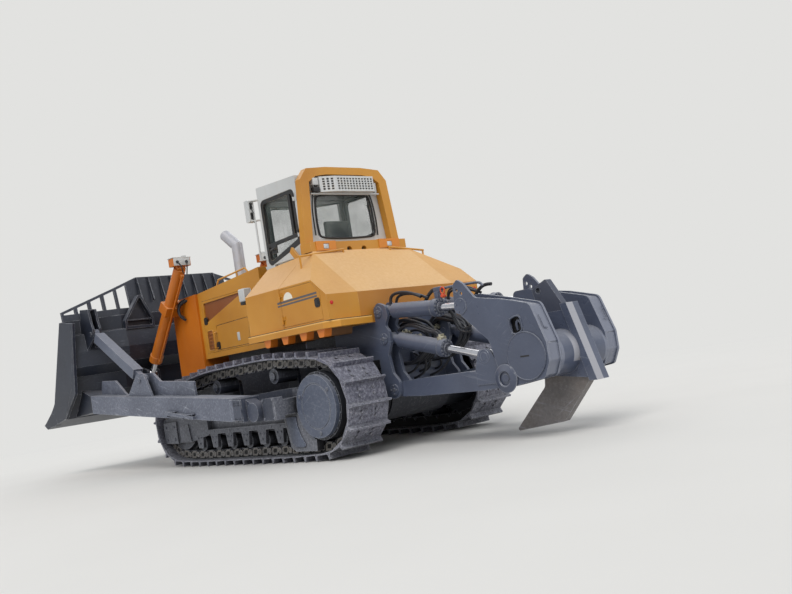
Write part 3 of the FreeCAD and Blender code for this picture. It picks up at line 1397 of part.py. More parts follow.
def shank_outline(clearance):
    """The shank's side view, let out by a clearance where it passes through the beam."""
    return [(-2555 - clearance, 1660, 20), (-2725 - clearance, 1360, 20), (-2900 - clearance, 520, 40),
            (-2500, 120, 60), (-1800, 45, 20), (-2310 + clearance, 510, 60), (-2420 + clearance, 1200, 60),
            (-2345 + clearance, 1575, 30)]


def ripper_shank():
    """The shank with its curved foot and tip."""
    shank = plate_xz(shank_outline(0), -shank_half_width, shank_half_width)
    return shank.cut(drum_y(*shank_eye, 32, -100, 100))


def cylinder_line(front_pin, rear_pin):
    """Front pin, rear pin and the unit vector between them, for a left ripper cylinder."""
    front = V(front_pin[0], cylinder_y, front_pin[1])
    rear = V(rear_pin[0], cylinder_y, rear_pin[1])
    return front, rear, rear.sub(front).normalize()


def eye_at(point, half_width):
    """The round eye at a cylinder's end."""
    return drum_y(point.x, point.z, 72, cylinder_y - half_width, cylinder_y + half_width)


def ripper_barrel(front, along, length):
    """A left ripper cylinder's barrel with its neck, bolted head and bored eye."""
    barrel = rod_between(front + along * 190, front + along * (length - 60), 92)
    head = rod_between(front + along * (length - 70), front + along * length, 104)
    neck = rod_between(front + along * 40, front + along * 200, 56)
    bore = rod_between(front + along * 250, front + along * (length + 10), ripper_rod_radius + 0.05)
    pin = drum_y(front.x, front.z, ripper_pin_radius + seat_gap, cylinder_y - 100, cylinder_y + 100)
    return join([barrel, head, neck, eye_at(front, ripper_eye_half_width)]).cut(bore).cut(pin)


def tilt_barrel():
    """The left tilt cylinder's barrel."""
    front, _, along = cylinder_line(tilt_front_pin, tilt_rear_pin)
    return ripper_barrel(front, along, 940)


def tilt_rod():
    """The left tilt cylinder's rod."""
    front, rear, along = cylinder_line(tilt_front_pin, tilt_rear_pin)
    return rod_between(front + along * 600, rear - along * 50, ripper_rod_radius).fuse(eye_at(rear, 60))


def ripper_lift_barrel():
    """The left ripper lift cylinder's barrel."""
    front, _, along = cylinder_line(ripper_lift_front_pin, ripper_lift_rear_pin)
    return ripper_barrel(front, along, 940)


def ripper_lift_rod():
    """The left ripper lift cylinder's rod."""
    front, rear, along = cylinder_line(ripper_lift_front_pin, ripper_lift_rear_pin)
    return rod_between(front + along * 640, rear - along * 50, ripper_rod_radius).fuse(eye_at(rear, 40))


# What is written: node name, shape
pieces = {
    "main_frame": main_frame(),
    "rear_frame": rear_frame(),
    "track_frames": both_sides(track_frame()),
    "idlers": both_sides(idler()),
    "final_drives": both_sides(final_drive()),
    "fuel_tank": fuel_tank(),
    "engine_hood": engine_hood(),
    "engine_block": engine_block(),
    "radiator_guard": radiator_guard(),
    "front_grille": front_grille(),
    "exhaust_stack": exhaust_stack(),
    "cab_shell": cab_shell(),
    "cab_glass": cab_glass(),
    "operator_seat": operator_seat(),
    "rops_frame": rops_frame(),
    "ac_unit": ac_unit(),
    "corner_lamps": both_sides(corner_lamps()),
    "handrails": handrails(),
    "blade": blade(),
    "spill_guard": spill_guard(),
    "push_arms": both_sides(push_arm()),
    "blade_braces": both_sides(brace()),
    "ripper_arm": ripper_arm(),
    "ripper_beam": ripper_beam(),
    "ripper_shank": ripper_shank(),
}

# Left pieces that have a right twin in a node of its own
paired = {
    "track": track_loop(),
    "side_cabinet": side_cabinet(),
    "service_door": service_door(),
    "engine_door": engine_door(),
    "cab_door": cab_door(),
    "cab_door_glass": cab_door_glass(),
    "blade_lift_barrel": lift_barrel(),
    "blade_lift_rod": lift_rod(),
    "ripper_tilt_barrel": tilt_barrel(),
    "ripper_tilt_rod": tilt_rod(),
    "ripper_lift_barrel": ripper_lift_barrel(),
    "ripper_lift_rod": ripper_lift_rod(),
}
for name, shape in paired.items():
    pieces[name + "_left"] = shape
    pieces[name + "_right"] = other_side(shape)

os.makedirs("parts", exist_ok=True)
for name, shape in pieces.items():
    moved = shape.copy()
    moved.translate(V(frame_shift_x, 0, 0))
    moved.exportStep("parts/" + name + ".step")
    print(name, len(moved.Solids), round(moved.Volume / 1e9, 4), moved.isValid())
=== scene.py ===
import math

import bpy
from mathutils import Matrix, Vector


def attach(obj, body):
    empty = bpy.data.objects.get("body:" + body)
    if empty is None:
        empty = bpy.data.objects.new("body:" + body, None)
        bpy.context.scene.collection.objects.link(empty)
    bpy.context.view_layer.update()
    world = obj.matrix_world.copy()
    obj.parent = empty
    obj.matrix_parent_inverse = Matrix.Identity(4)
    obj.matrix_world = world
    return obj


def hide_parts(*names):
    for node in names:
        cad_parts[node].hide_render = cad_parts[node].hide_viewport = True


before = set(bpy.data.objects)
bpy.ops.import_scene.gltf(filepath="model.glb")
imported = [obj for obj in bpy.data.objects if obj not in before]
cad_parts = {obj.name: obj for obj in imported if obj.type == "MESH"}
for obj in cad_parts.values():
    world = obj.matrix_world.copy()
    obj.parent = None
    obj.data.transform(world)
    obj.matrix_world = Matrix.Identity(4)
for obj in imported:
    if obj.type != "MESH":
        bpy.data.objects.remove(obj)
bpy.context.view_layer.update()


# Camera, at the photograph's place behind the left rear corner
camera_place = (-10.6006, 7.9824, 1.0794)
yaw = math.radians(42.81)
pitch = math.radians(3.69)
roll = math.radians(-9.03)
ahead = Vector((math.cos(yaw) * math.cos(pitch), -math.sin(yaw) * math.cos(pitch), math.sin(pitch)))
level = ahead.cross(Vector((0, 0, 1))).normalized()
upright = level.cross(ahead)
across = math.cos(roll) * level + math.sin(roll) * upright
over = -math.sin(roll) * level + math.cos(roll) * upright
lens = bpy.data.cameras.new("camera")
lens.lens = 42.0
lens.sensor_width = 36.0
lens.clip_end = 400.0
camera = bpy.data.objects.new("camera", lens)
camera.matrix_world = Matrix.Translation(camera_place) @ Matrix((across, over, -ahead)).transposed().to_4x4()
bpy.context.scene.collection.objects.link(camera)
bpy.context.scene.camera = camera
bpy.context.scene.view_settings.view_transform = "Standard"

# Places below are measured from the sprockets' axle, and this brings them to the frame's origin
sprocket_x = -1.855
sprocket_z = 0.659
track_y = 1.09
cabinet_y = 1.3
hood_y = 0.6


# Shader maths
class Wire:
    """A value in a material: arithmetic on it adds Math nodes."""

    def __init__(self, tree, socket):
        self.tree = tree
        self.socket = socket

    def sum(self, kind, *values, clamp=False):
        """One Math node on this and other values."""
        node = self.tree.nodes.new("ShaderNodeMath")
        node.operation = kind
        node.use_clamp = clamp
        for slot, value in zip(node.inputs, values):
            if isinstance(value, Wire):
                self.tree.links.new(value.socket, slot)
            else:
                slot.default_value = value
        return Wire(self.tree, node.outputs[0])

    def __add__(self, other):
        return self.sum("ADD", self, other)

    def __radd__(self, other):
        return self.sum("ADD", other, self)

    def __sub__(self, other):
        return self.sum("SUBTRACT", self, other)

    def __rsub__(self, other):
        return self.sum("SUBTRACT", other, self)

    def __mul__(self, other):
        return self.sum("MULTIPLY", self, other)

    def __rmul__(self, other):
        return self.sum("MULTIPLY", other, self)

    def __gt__(self, other):
        return self.sum("GREATER_THAN", self, other)

    def __lt__(self, other):
        return self.sum("LESS_THAN", self, other)

    def ramp(self, low, high):
        """0 below low, 1 above high and straight between."""
        return self.sum("MULTIPLY", self - low, 1 / (high - low), clamp=True)

    def within(self, low, high):
        """1 between two values."""
        return (self > low) * (self < high)

    def size(self):
        """The value without its sign."""
        return self.sum("ABSOLUTE", self)

    def either(self, other):
        """The larger of two values."""
        return self.sum("MAXIMUM", self, other)

    def both(self, other):
        """The smaller of two values."""
        return self.sum("MINIMUM", self, other)


class Nodes:
    """A node tree, to which nodes are added in turn."""

    def __init__(self, tree):
        self.tree = tree

    def feed(self, slot, value):
        """Links a wire to a socket, or sets the socket's value."""
        if isinstance(value, Wire):
            self.tree.links.new(value.socket, slot)
        else:
            slot.default_value = value

    def node(self, kind, settings=(), output=0, **values):
        """Any node: its settings first, then the values or links of its sockets, n0 being the first socket."""
        node = self.tree.nodes.new(kind)
        for name, value in dict(settings).items():
            setattr(node, name, value)
        for name, value in values.items():
            numbered = name[0] == "n" and name[1:].isdigit()
            self.feed(node.inputs[int(name[1:]) if numbered else name], value)
        return Wire(self.tree, node.outputs[output])


class Finish(Nodes):
    """One material, whose nodes end in its shader."""

    def __init__(self, name, roughness=0.5, metallic=0.0):
        self.material = bpy.data.materials.new(name)
        self.material.use_nodes = True
        super().__init__(self.material.node_tree)
        self.shader = self.tree.nodes["Principled BSDF"]
        self.set("Roughness", roughness)
        self.set("Metallic", metallic)
        self.place = self.node("ShaderNodeTexCoord", output="Object")
        self.normal = self.node("ShaderNodeTexCoord", output="Normal")

    def set(self, name, value):
        """Feeds one of the shader's sockets."""
        self.feed(self.shader.inputs[name], value)

    def noise(self, scale, detail=3.0, rough=0.5, place=None):
        """A cloudy value from 0 to 1; scale is in patches per metre."""
        return self.node("ShaderNodeTexNoise", Vector=place or self.place, Scale=scale, Detail=detail,
                         Roughness=rough)

    def axis(self, name, vector=None):
        """One part of the place, or of another vector."""
        return self.node("ShaderNodeSeparateXYZ", output=name, Vector=vector or self.place)

    def x(self):
        """The distance ahead of the sprockets' axle."""
        return self.axis("X") - sprocket_x

    def stretched(self, x, y, z):
        """Object coordinates scaled along each axis."""
        return self.node("ShaderNodeVectorMath", {"operation": "MULTIPLY"}, n0=self.place, n1=(x, y, z))

    def turned(self, angle, x, y, z):
        """Object coordinates turned about Y, then scaled along each axis."""
        turn = self.node("ShaderNodeMapping", Vector=self.place, Rotation=(0.0, math.radians(angle), 0.0))
        return self.node("ShaderNodeVectorMath", {"operation": "MULTIPLY"}, n0=turn, n1=(x, y, z))

    def mix(self, first, second, share):
        """A colour between two, by a share."""
        return self.node("ShaderNodeMix", {"data_type": "RGBA"}, output=2, n0=share, n6=first, n7=second)

    def edge(self, radius):
        """How near a sharp edge is: 0 on the flat, towards 1 at the edge."""
        soft = self.node("ShaderNodeBevel", {"samples": 4}, Radius=radius)
        true = self.node("ShaderNodeNewGeometry", output="Normal")
        turn = self.node("ShaderNodeVectorMath", {"operation": "DOT_PRODUCT"}, output=1, n0=soft, n1=true)
        return 1 - turn

    def crevice(self, reach):
        """1 deep in a recess, 0 in the open."""
        open_share = self.node("ShaderNodeAmbientOcclusion", {"samples": 6}, output=1, Distance=reach)
        return 1 - open_share.ramp(0.3, 0.85)

    def finish(self, colour, roughness, metallic=None, bump=None, depth=0.002, strength=0.6):
        """Feeds the shader and gives the material."""
        self.set("Base Color", colour)
        self.set("Roughness", roughness)
        if metallic is not None:
            self.set("Metallic", metallic)
        if bump is not None:
            self.set("Normal", self.node("ShaderNodeBump", Height=bump, Distance=depth, Strength=strength))
        return self.material


def rgb(red, green, blue):
    """A colour written as the screen shows it, 0 to 255."""
    parts = [c / 255 for c in (red, green, blue)]
    return tuple(c / 12.92 if c <= 0.04045 else ((c + 0.055) / 1.055) ** 2.4 for c in parts) + (1.0,)


def dusty(f, top, haze, height=(0.0, 2.6)):
    """How much dust lies on a place: most on faces that look up and low on the machine."""
    up = f.axis("Z", f.normal)
    lying = up.ramp(0.2, 0.9) * top
    low = 1 - f.axis("Z").ramp(*height)
    cloud = f.noise(2.2, 4.0, 0.6).ramp(0.3, 0.75)
    fine = f.noise(24.0, 3.0, 0.65).ramp(0.3, 0.75)
    spread = lying * (0.7 + 0.3 * fine) + haze * (0.35 + 0.65 * cloud) * (0.35 + 0.65 * low)
    return spread.both(0.92)


# Enamels and steels
pale_dust = rgb(230, 200, 158)
rock_dust = rgb(154, 156, 164)


def paint(name, colour, darker, lighter, dirt=0.5, haze=0.2, dust=pale_dust, pattern=None):
    """Sprayed enamel with dust on its tops, faint rain streaks, and rubbed edges lightened also as painted
    highlight.
    """
    f = Finish(name, roughness=0.4)
    tone = f.mix(darker, colour, f.noise(1.1, 3.0, 0.5).ramp(0.3, 0.6))
    tone = f.mix(tone, lighter, f.noise(0.7, 2.0, 0.5).ramp(0.5, 0.8) * 0.5)
    streak = f.noise(1.0, 4.0, 0.6, f.stretched(12.0, 12.0, 0.7)).ramp(0.55, 0.85)
    tone = f.mix(tone, rgb(160, 130, 88), streak * 0.14)
    if pattern:
        tone = pattern(f, tone)
    cover = dusty(f, dirt, haze)
    tone = f.mix(tone, dust, cover)
    # Edges lightened as rubbed paint and as painted highlight.
    rubbed_lit_edge = f.edge(0.01).ramp(0.04, 0.3) * f.noise(9.0, 4.0, 0.7).ramp(0.45, 0.65)
    tone = f.mix(tone, rgb(244, 214, 160), rubbed_lit_edge * 0.4)
    ripple = f.noise(5.5, 2.0, 0.5) * 0.6 + f.noise(160.0, 2.0, 0.5) * 0.04
    return f.finish(tone, roughness=0.38 + 0.4 * cover + 0.08 * streak, bump=ripple, depth=0.003,
                    strength=0.2)


def outward(f):
    """1 on faces that look to the machine's sides."""
    return f.axis("Y", f.normal).size() > 0.7


def cabinet_stripes(f, tone):
    """The stripes and pale half disc on the cabinet's side, a painted highlight along its ledge, the seam over the
    ledge, the orange brackets and painted shadow below the ledge between them.
    """
    x = f.x()
    rise = f.axis("Z") - (1.953 - 0.0215 * x)
    side = outward(f) * (f.axis("Y").size() > cabinet_y - 0.02)
    bands = rise.within(0.006, 0.032).either(rise.within(-0.03, -0.008)) * x.within(-0.185, 0.625)
    tone = f.mix(tone, rgb(74, 76, 84), bands * side)
    reach = f.node("ShaderNodeVectorMath", {"operation": "DISTANCE"}, output=1,
                   n0=f.node("ShaderNodeCombineXYZ", X=x, Y=0.0, Z=f.axis("Z")), n1=(0.39, 0.0, 1.975))
    disc = (reach < 0.095) * (rise > 0.038)
    tone = f.mix(tone, rgb(226, 222, 208), disc * side)
    below = f.axis("Z") < 1.538
    bracket = f.axis("Y").size() > 1.2
    upright = f.axis("Z", f.normal).size() < 0.5
    # Painted highlight: a light line along the ledge's face.
    tone = f.mix(tone, rgb(236, 190, 112), f.axis("Z").within(1.609, 1.622) * upright * 0.7)
    tone = f.mix(tone, rgb(58, 42, 20), f.axis("Z").within(1.622, 1.633) * upright)
    # Painted shadow: dark brown below the ledge between the brackets; the brackets themselves are orange.
    return f.mix(f.mix(tone, rgb(208, 112, 10), below * bracket), rgb(92, 58, 22), below * (1 - bracket))


def door_recess(f, tone):
    """The engine door's sunk triangle and vent slots, darker than the face as painted shade, and its grooves, dark
    as joints.
    """
    y = f.axis("Y").size()
    sunk = outward(f) * y.within(hood_y - 0.025, hood_y - 0.0095)
    groove = outward(f) * y.within(hood_y - 0.0095, hood_y - 0.0035)
    # Painted shade: the sunk triangle and its vent slots darker orange.
    tone = f.mix(tone, rgb(128, 66, 16), sunk)
    return f.mix(tone, rgb(72, 44, 18), groove)


def rops_lamps(f, tone):
    """The orange lamp boxes at the hoop's foot, and the openings beside them painted near black as painted shade.
    """
    x = f.x()
    boxed = (x < 0.399).either((x < 0.505) * f.axis("Z").within(2.681, 2.7))
    tone = f.mix(tone, rgb(206, 124, 22), boxed)
    # Painted shade: near black on the rear faces of the openings.
    hole = (f.axis("X", f.normal) < -0.7) * x.within(0.41, 0.5)
    return f.mix(tone, rgb(24, 22, 22), hole)


def cab_lining(f, tone):
    """The grey lining inside the cab."""
    inside = (f.axis("Y").size() < 0.705) * f.x().within(0.672, 1.775) * f.axis("Z").within(2.08, 3.46)
    return f.mix(tone, rgb(72, 74, 76), inside)


def cooler_slots(f, tone):
    """The floors of the air conditioner's slots, painted near black as painted shade."""
    x = f.x()
    y = f.axis("Y")
    straight = (x - 0.435) * y.within(-0.436, 0.21)
    slanted = ((x - 0.435) * 0.9623 - (y - 0.21) * 0.2719) * (y > 0.21)
    deep = straight + slanted
    # Painted shade on the slot floors.
    return f.mix(tone, rgb(20, 20, 22), deep.within(0.004, 0.025) * (f.axis("X", f.normal) < -0.6))


def steel(name, colour, darker, dirt=0.4, haze=0.16, bright=0.5, roughness=0.42, scratch=0.2, recess_shade=0.0,
          height=(0.0, 2.6), speck=0.15, pattern=None):
    """Dark painted steel plate, rubbed bright at its edges and lightened there also as painted highlight, with
    pale dust on it and painted shade in its recesses.
    """
    f = Finish(name, roughness=roughness)
    tone = f.mix(darker, colour, f.noise(1.5, 4.0, 0.55).ramp(0.3, 0.65))
    scuff = f.noise(1.0, 6.0, 0.72, f.turned(17.0, 1.3, 6.0, 42.0)).ramp(0.57, 0.66)
    rub = f.noise(1.0, 6.0, 0.72, f.turned(-31.0, 1.8, 6.0, 50.0)).ramp(0.61, 0.68)
    patches = f.noise(2.6, 2.0, 0.5).ramp(0.47, 0.62)
    tone = f.mix(tone, rgb(170, 174, 184), scuff.either(rub) * patches * scratch)
    cover = dusty(f, dirt, haze, height)
    tone = f.mix(tone, rock_dust, cover)
    grit = f.noise(30.0, 5.0, 0.75)
    tone = f.mix(tone, rgb(40, 39, 50), (1 - grit.ramp(0.4, 0.5)) * speck)
    tone = f.mix(tone, rgb(186, 184, 190), grit.ramp(0.54, 0.66) * speck)
    if pattern:
        tone = pattern(f, tone)
    # Painted shade: recesses darkened towards near black by ambient occlusion.
    if recess_shade:
        tone = f.mix(tone, rgb(22, 22, 25), f.crevice(0.3) * recess_shade)
    # Edges lightened as rubbed paint and as painted highlight.
    rubbed_lit_edge = f.edge(0.014).ramp(0.03, 0.3) * f.noise(8.0, 4.0, 0.7).ramp(0.34, 0.6)
    tone = f.mix(tone, rgb(188, 190, 196), rubbed_lit_edge * bright)
    pitted = grit * (1 + 3 * speck) + f.noise(5.0, 3.0, 0.5) * 1.2
    return f.finish(tone, roughness=roughness + 0.35 * cover, metallic=rubbed_lit_edge * 0.4 + scuff * 0.1, bump=pitted,
                    depth=0.002, strength=0.3)


def dark_chain(f, tone):
    """The chain between the shoes, darker than they are."""
    side = outward(f) * (f.axis("Y").size() - track_y).size().within(0.06, 0.2)
    return f.mix(tone, rgb(27, 25, 25), side)


def dark_carriers(f, tone):
    """The carrier rollers and the trunnion block, cleaner and bluer than the frame below them."""
    carrier = f.axis("Z").within(0.8, 1.05) * f.x().within(0.7, 2.7)
    block = f.x().within(0.5, 1.14) * (f.axis("Y").size() > 1.37) * (f.axis("Z") > 0.5)
    return f.mix(tone, rgb(38, 44, 60), carrier.either(block) * 0.75)


def arm_ends(f, tone):
    """The push arm's rear end round its ball, darker than the arm."""
    return f.mix(tone, rgb(46, 52, 68), (f.x() < 1.166) * 0.65)


def drum_rim(f, tone):
    """The drum's rim behind the round cover, dark with oil."""
    return f.mix(tone, rgb(40, 42, 48), f.axis("Y").size() < 1.3655)


def shank_top(f, tone):
    """The shank's upper part keeps its paint."""
    return f.mix(tone, rgb(66, 72, 88), f.axis("Z").ramp(0.62, 0.95) * 0.9)


def rear_sheen(f, tone):
    """The beam's rear faces lightened as a painted reflection of the sky, and the bare bar behind the shank,
    lightened on its rear face also as painted highlight.
    """
    behind = (0 - f.axis("X", f.normal)).ramp(0.55, 0.95)
    boxes = f.axis("Y").size() > 0.36
    # Painted reflection on the boxes' rear faces.
    tone = f.mix(tone, rgb(138, 142, 156), behind * boxes * 0.55)
    # Painted highlight on the bar's rear face.
    bar = f.axis("Y").within(-0.01, 0.2) * (f.x() < f.axis("Z") * 0.29 - 3.08)
    return f.mix(tone, rgb(172, 172, 178), bar * behind * 0.8)


def shaded_tank_back(f, tone):
    """The tank's upright back, darker and more orange as painted shade."""
    return f.mix(tone, rgb(160, 96, 12), (0 - f.axis("X", f.normal)).ramp(0.8, 0.98) * 0.6)


def polished_front(f, tone):
    """The blade's hollow face, rubbed to bare brownish steel by rock, most in its middle and towards its edge."""
    ahead = f.axis("X", f.normal).ramp(0.1, 0.45)
    low = 1 - f.axis("Z").ramp(0.9, 2.1)
    grain = f.noise(1.0, 5.0, 0.65, f.stretched(2.0, 7.0, 1.1)).ramp(0.3, 0.7)
    bare = f.mix(rgb(104, 98, 94), rgb(146, 140, 136), grain)
    tone = f.mix(tone, bare, ahead * (0.25 + 0.75 * low) * (0.55 + 0.45 * grain))
    return f.mix(tone, rgb(30, 28, 28), (ahead > 0) * f.axis("Z").within(0.985, 0.995))


yellow_tones = (rgb(194, 133, 28), rgb(180, 118, 22), rgb(202, 142, 42))
yellow = paint("yellow_enamel", *yellow_tones, haze=0.1)
cabinet_yellow = paint("cabinet_enamel", *yellow_tones, haze=0.1, pattern=cabinet_stripes)
door_yellow = paint("engine_door_enamel", *yellow_tones, haze=0.1, pattern=door_recess)
hoop_yellow = paint("hoop_enamel", *yellow_tones, haze=0.16, pattern=rops_lamps)
tank_yellow = paint("tank_enamel", *yellow_tones, dirt=0.8, haze=0.1, pattern=shaded_tank_back)
orange = paint("orange_enamel", rgb(198, 108, 5), rgb(180, 92, 4), rgb(208, 122, 20), dirt=0.35, haze=0.05)
# Painted shade: a darker copy of the orange enamel, for the vent panels in the engine door's sunk triangle.
shaded_orange = paint("shaded_orange", rgb(138, 76, 16), rgb(120, 64, 12), rgb(150, 88, 24), dirt=0.2,
                      haze=0.05)
white_tones = (rgb(196, 198, 198), rgb(182, 184, 184), rgb(206, 206, 204))
grey_dust = rgb(196, 190, 180)
white = paint("white_enamel", *white_tones, dirt=0.3, haze=0.12, dust=grey_dust)
cab_white = paint("cab_enamel", *white_tones, dirt=0.3, haze=0.12, dust=grey_dust, pattern=cab_lining)
cooler_white = paint("cooler_enamel", *white_tones, dirt=0.3, haze=0.1, dust=grey_dust, pattern=cooler_slots)
blue_tones = (rgb(76, 84, 104), rgb(64, 71, 90))
dark = steel("dark_blue_steel", *blue_tones, dirt=0.6, haze=0.1, bright=0.45, roughness=0.28, speck=0.02)
beam_steel = steel("ripper_beam_steel", *blue_tones, dirt=0.6, haze=0.1, bright=0.8, roughness=0.26,
                   speck=0.02, pattern=rear_sheen)
frame_dark = steel("frame_steel", rgb(40, 43, 52), rgb(30, 32, 40), bright=0.3, haze=0.06, recess_shade=0.7)
blade_steel = steel("blade_steel", rgb(36, 42, 56), rgb(27, 31, 42), dirt=0.35, haze=0.02, bright=0.9,
                    scratch=0.12, recess_shade=0.6, speck=0.03, pattern=polished_front)
arm_steel = steel("push_arm_steel", rgb(100, 106, 122), rgb(82, 88, 104), dirt=0.6, haze=0.12, bright=1.0,
                  scratch=1.0, recess_shade=0.5, speck=0.25, pattern=arm_ends)
brace_steel = steel("brace_steel", rgb(92, 99, 116), rgb(78, 84, 100), scratch=0.35, bright=0.9, speck=0.08)
track_steel = steel("track_shoe_steel", rgb(98, 98, 118), rgb(74, 75, 92), dirt=0.4, haze=0.75, bright=1.0,
                    roughness=0.45, scratch=0.7, recess_shade=0.6, height=(0.1, 1.05), speck=0.6, pattern=dark_chain)
running_steel = steel("running_gear_steel", rgb(82, 86, 97), rgb(60, 64, 74), dirt=0.45, haze=0.55,
                      bright=0.9, recess_shade=0.95, height=(0.2, 0.95), speck=0.35, pattern=dark_carriers)
drive_steel = steel("drive_cover_steel", rgb(80, 89, 108), rgb(70, 78, 96), dirt=0.5, haze=0.1, bright=0.9,
                    pattern=drum_rim)
shank_iron = steel("worn_shank_iron", rgb(118, 108, 98), rgb(92, 84, 78), dirt=0.4, haze=0.4, bright=0.8,
                   roughness=0.4, scratch=0.5, pattern=shank_top)
bolt_steel = steel("bolt_steel", rgb(92, 96, 108), rgb(66, 70, 82), bright=0.7)
link_steel = steel("chain_link_steel", rgb(128, 121, 110), rgb(92, 86, 80), dirt=0.1, haze=0.1, bright=1.0)
dark_screws = steel("dark_screw_steel", rgb(44, 47, 56), rgb(34, 36, 44), haze=0.05, bright=0.9)
engine_grey = steel("engine_casting", rgb(88, 88, 90), rgb(64, 64, 66), bright=0.2)
black_enamel = paint("black_enamel", rgb(34, 34, 36), rgb(28, 28, 30), rgb(40, 40, 42), dirt=0.2, haze=0.1,
                     dust=rgb(150, 146, 140))


def bright_metal(name, colour, smeared, roughness, metallic):
    """Plated or galvanised metal with a faint film."""
    f = Finish(name, roughness=roughness, metallic=metallic)
    smear = f.noise(7.0, 3.0, 0.6).ramp(0.45, 0.8)
    return f.finish(f.mix(colour, smeared, smear * 0.5), roughness=roughness + 0.2 * smear)


def moulded(name, colour, dusted, roughness):
    """Rubber or plastic, matt where dust clings to it."""
    f = Finish(name, roughness=roughness)
    film = dusty(f, 0.35, 0.12)
    return f.finish(f.mix(colour, dusted, film), roughness=roughness + 0.25 * film,
                    bump=f.noise(120.0, 3.0, 0.6), depth=0.0006, strength=0.3)


def window_glass():
    """Pale green glass that dust has filmed."""
    f = Finish("tinted_glass", roughness=0.05)
    film = f.noise(2.4, 4.0, 0.6).ramp(0.35, 0.8)
    rain = f.noise(1.0, 4.0, 0.6, f.stretched(20.0, 20.0, 1.6)).ramp(0.55, 0.85)
    f.set("Alpha", 0.12 + 0.2 * film + 0.1 * rain)
    return f.finish(f.mix(rgb(70, 88, 86), rgb(190, 198, 190), film * 0.6 + rain * 0.2),
                    roughness=0.05 + 0.25 * film)


def seat_cloth():
    """Black seat cover with a fine weave and dust in it."""
    f = Finish("seat_cover", roughness=0.75)
    weave = f.node("ShaderNodeTexVoronoi", Vector=f.place, Scale=320.0)
    tone = f.mix(rgb(40, 41, 44), rgb(60, 60, 62), f.noise(6.0, 3.0, 0.6))
    tone = f.mix(tone, rgb(150, 144, 134), dusty(f, 0.3, 0.1))
    return f.finish(tone, roughness=0.65 + 0.2 * weave, bump=weave, depth=0.0008, strength=0.5)


rod_chrome = bright_metal("rod_chrome", rgb(222, 222, 226), rgb(180, 176, 168), 0.14, 1.0)
stack_metal = bright_metal("stack_metal", rgb(196, 196, 202), rgb(176, 170, 164), 0.36, 0.55)
fitting_zinc = bright_metal("fitting_zinc", rgb(196, 190, 168), rgb(150, 144, 130), 0.3, 0.8)
rubber = moulded("black_rubber", rgb(24, 24, 27), rgb(120, 118, 116), 0.55)
hose_rubber = moulded("hose_rubber", rgb(26, 28, 34), rgb(96, 98, 106), 0.4)
black_plastic = moulded("black_plastic", rgb(20, 20, 22), rgb(110, 106, 100), 0.4)
red_plastic = moulded("red_reflector", rgb(196, 30, 24), rgb(170, 110, 90), 0.2)
cap_orange = moulded("cap_orange", rgb(206, 72, 34), rgb(180, 130, 100), 0.4)
lamp_lens = bright_metal("lamp_lens", rgb(196, 200, 204), rgb(160, 160, 156), 0.12, 0.3)
glass = window_glass()
seat_cover = seat_cloth()

finishes = {"yellow_paint": yellow, "orange_paint": orange, "white_paint": white, "dark_steel_paint": dark,
            "worn_iron": shank_iron, "chrome_steel": rod_chrome, "cab_glass": glass, "seat_trim": seat_cover}
own_finishes = {"blade": blade_steel, "spill_guard": blade_steel, "push_arms": arm_steel,
                "blade_braces": brace_steel, "track": track_steel, "track_frames": running_steel,
                "idlers": running_steel, "final_drives": drive_steel, "ripper_beam": beam_steel,
                "side_cabinet": cabinet_yellow, "service_door": cabinet_yellow, "engine_door": door_yellow,
                "rops_frame": hoop_yellow, "fuel_tank": tank_yellow, "cab_door": black_enamel,
                "cab_shell": cab_white, "ac_unit": cooler_white, "exhaust_stack": stack_metal,
                "main_frame": frame_dark, "engine_block": engine_grey}
for name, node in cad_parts.items():
    finish = own_finishes.get(name.removesuffix("_left").removesuffix("_right"))
    if finish is None:
        given = [slot.material.name for slot in node.material_slots if slot.material]
        key = next((k for k in finishes if given and given[0].startswith(k)), "dark_steel_paint")
        finish = finishes[key]
    node.data.materials.clear()
    node.data.materials.append(finish)


# Modelling
slots = {yellow: "yellow_paint", shaded_orange: "orange_paint", red_plastic: "orange_paint",
         cap_orange: "orange_paint", white: "white_paint", rubber: "seat_trim", hose_rubber: "seat_trim",
         black_plastic: "seat_trim", seat_cover: "seat_trim", lamp_lens: "chrome_steel",
         fitting_zinc: "chrome_steel"}
outwards = (0, 1, 0)
backwards = (-1, 0, 0)


def free():
    """Deselects everything."""
    bpy.ops.object.select_all(action="DESELECT")


def hold(piece):
    """Makes one object the selected and active one."""
    free()
    piece.select_set(True)
    bpy.context.view_layer.objects.active = piece
    return piece


def edit(piece, test=None):
    """Edit mode with the faces that a test on centre and normal chooses, or all of them."""
    hold(piece)
    bpy.ops.object.mode_set(mode="EDIT")
    bpy.ops.mesh.select_mode(type="FACE")
    bpy.ops.mesh.select_all(action="SELECT" if test is None else "DESELECT")
    if test is not None:
        bpy.ops.object.mode_set(mode="OBJECT")
        for face in piece.data.polygons:
            face.select = test(face.center, face.normal)
        bpy.ops.object.mode_set(mode="EDIT")


def leave():
    """Back to object mode."""
    bpy.ops.object.mode_set(mode="OBJECT")


def sunk_face(piece, facing, *steps):
    """Insets the face that looks one way, in steps of a width and a depth."""
    edit(piece, lambda centre, normal: normal.dot(Vector(facing)) > 0.9)
    for thickness, depth in steps:
        bpy.ops.mesh.inset(thickness=thickness, depth=depth)
    leave()


def settled():
    """The new primitive, with its place in its mesh."""
    bpy.ops.object.transform_apply(location=True, rotation=True, scale=True)
    return bpy.context.object


def block(low, high, edge=0.004, segments=2):
    """A box with rounded edges between two corners."""
    free()
    middle = [(a + b) / 2 for a, b in zip(low, high)]
    bpy.ops.mesh.primitive_cube_add(size=1.0, location=middle, scale=[b - a for a, b in zip(low, high)])
    piece = settled()
    edit(piece)
    bpy.ops.mesh.bevel(offset=edge, segments=segments, affect="EDGES")
    leave()
    return piece


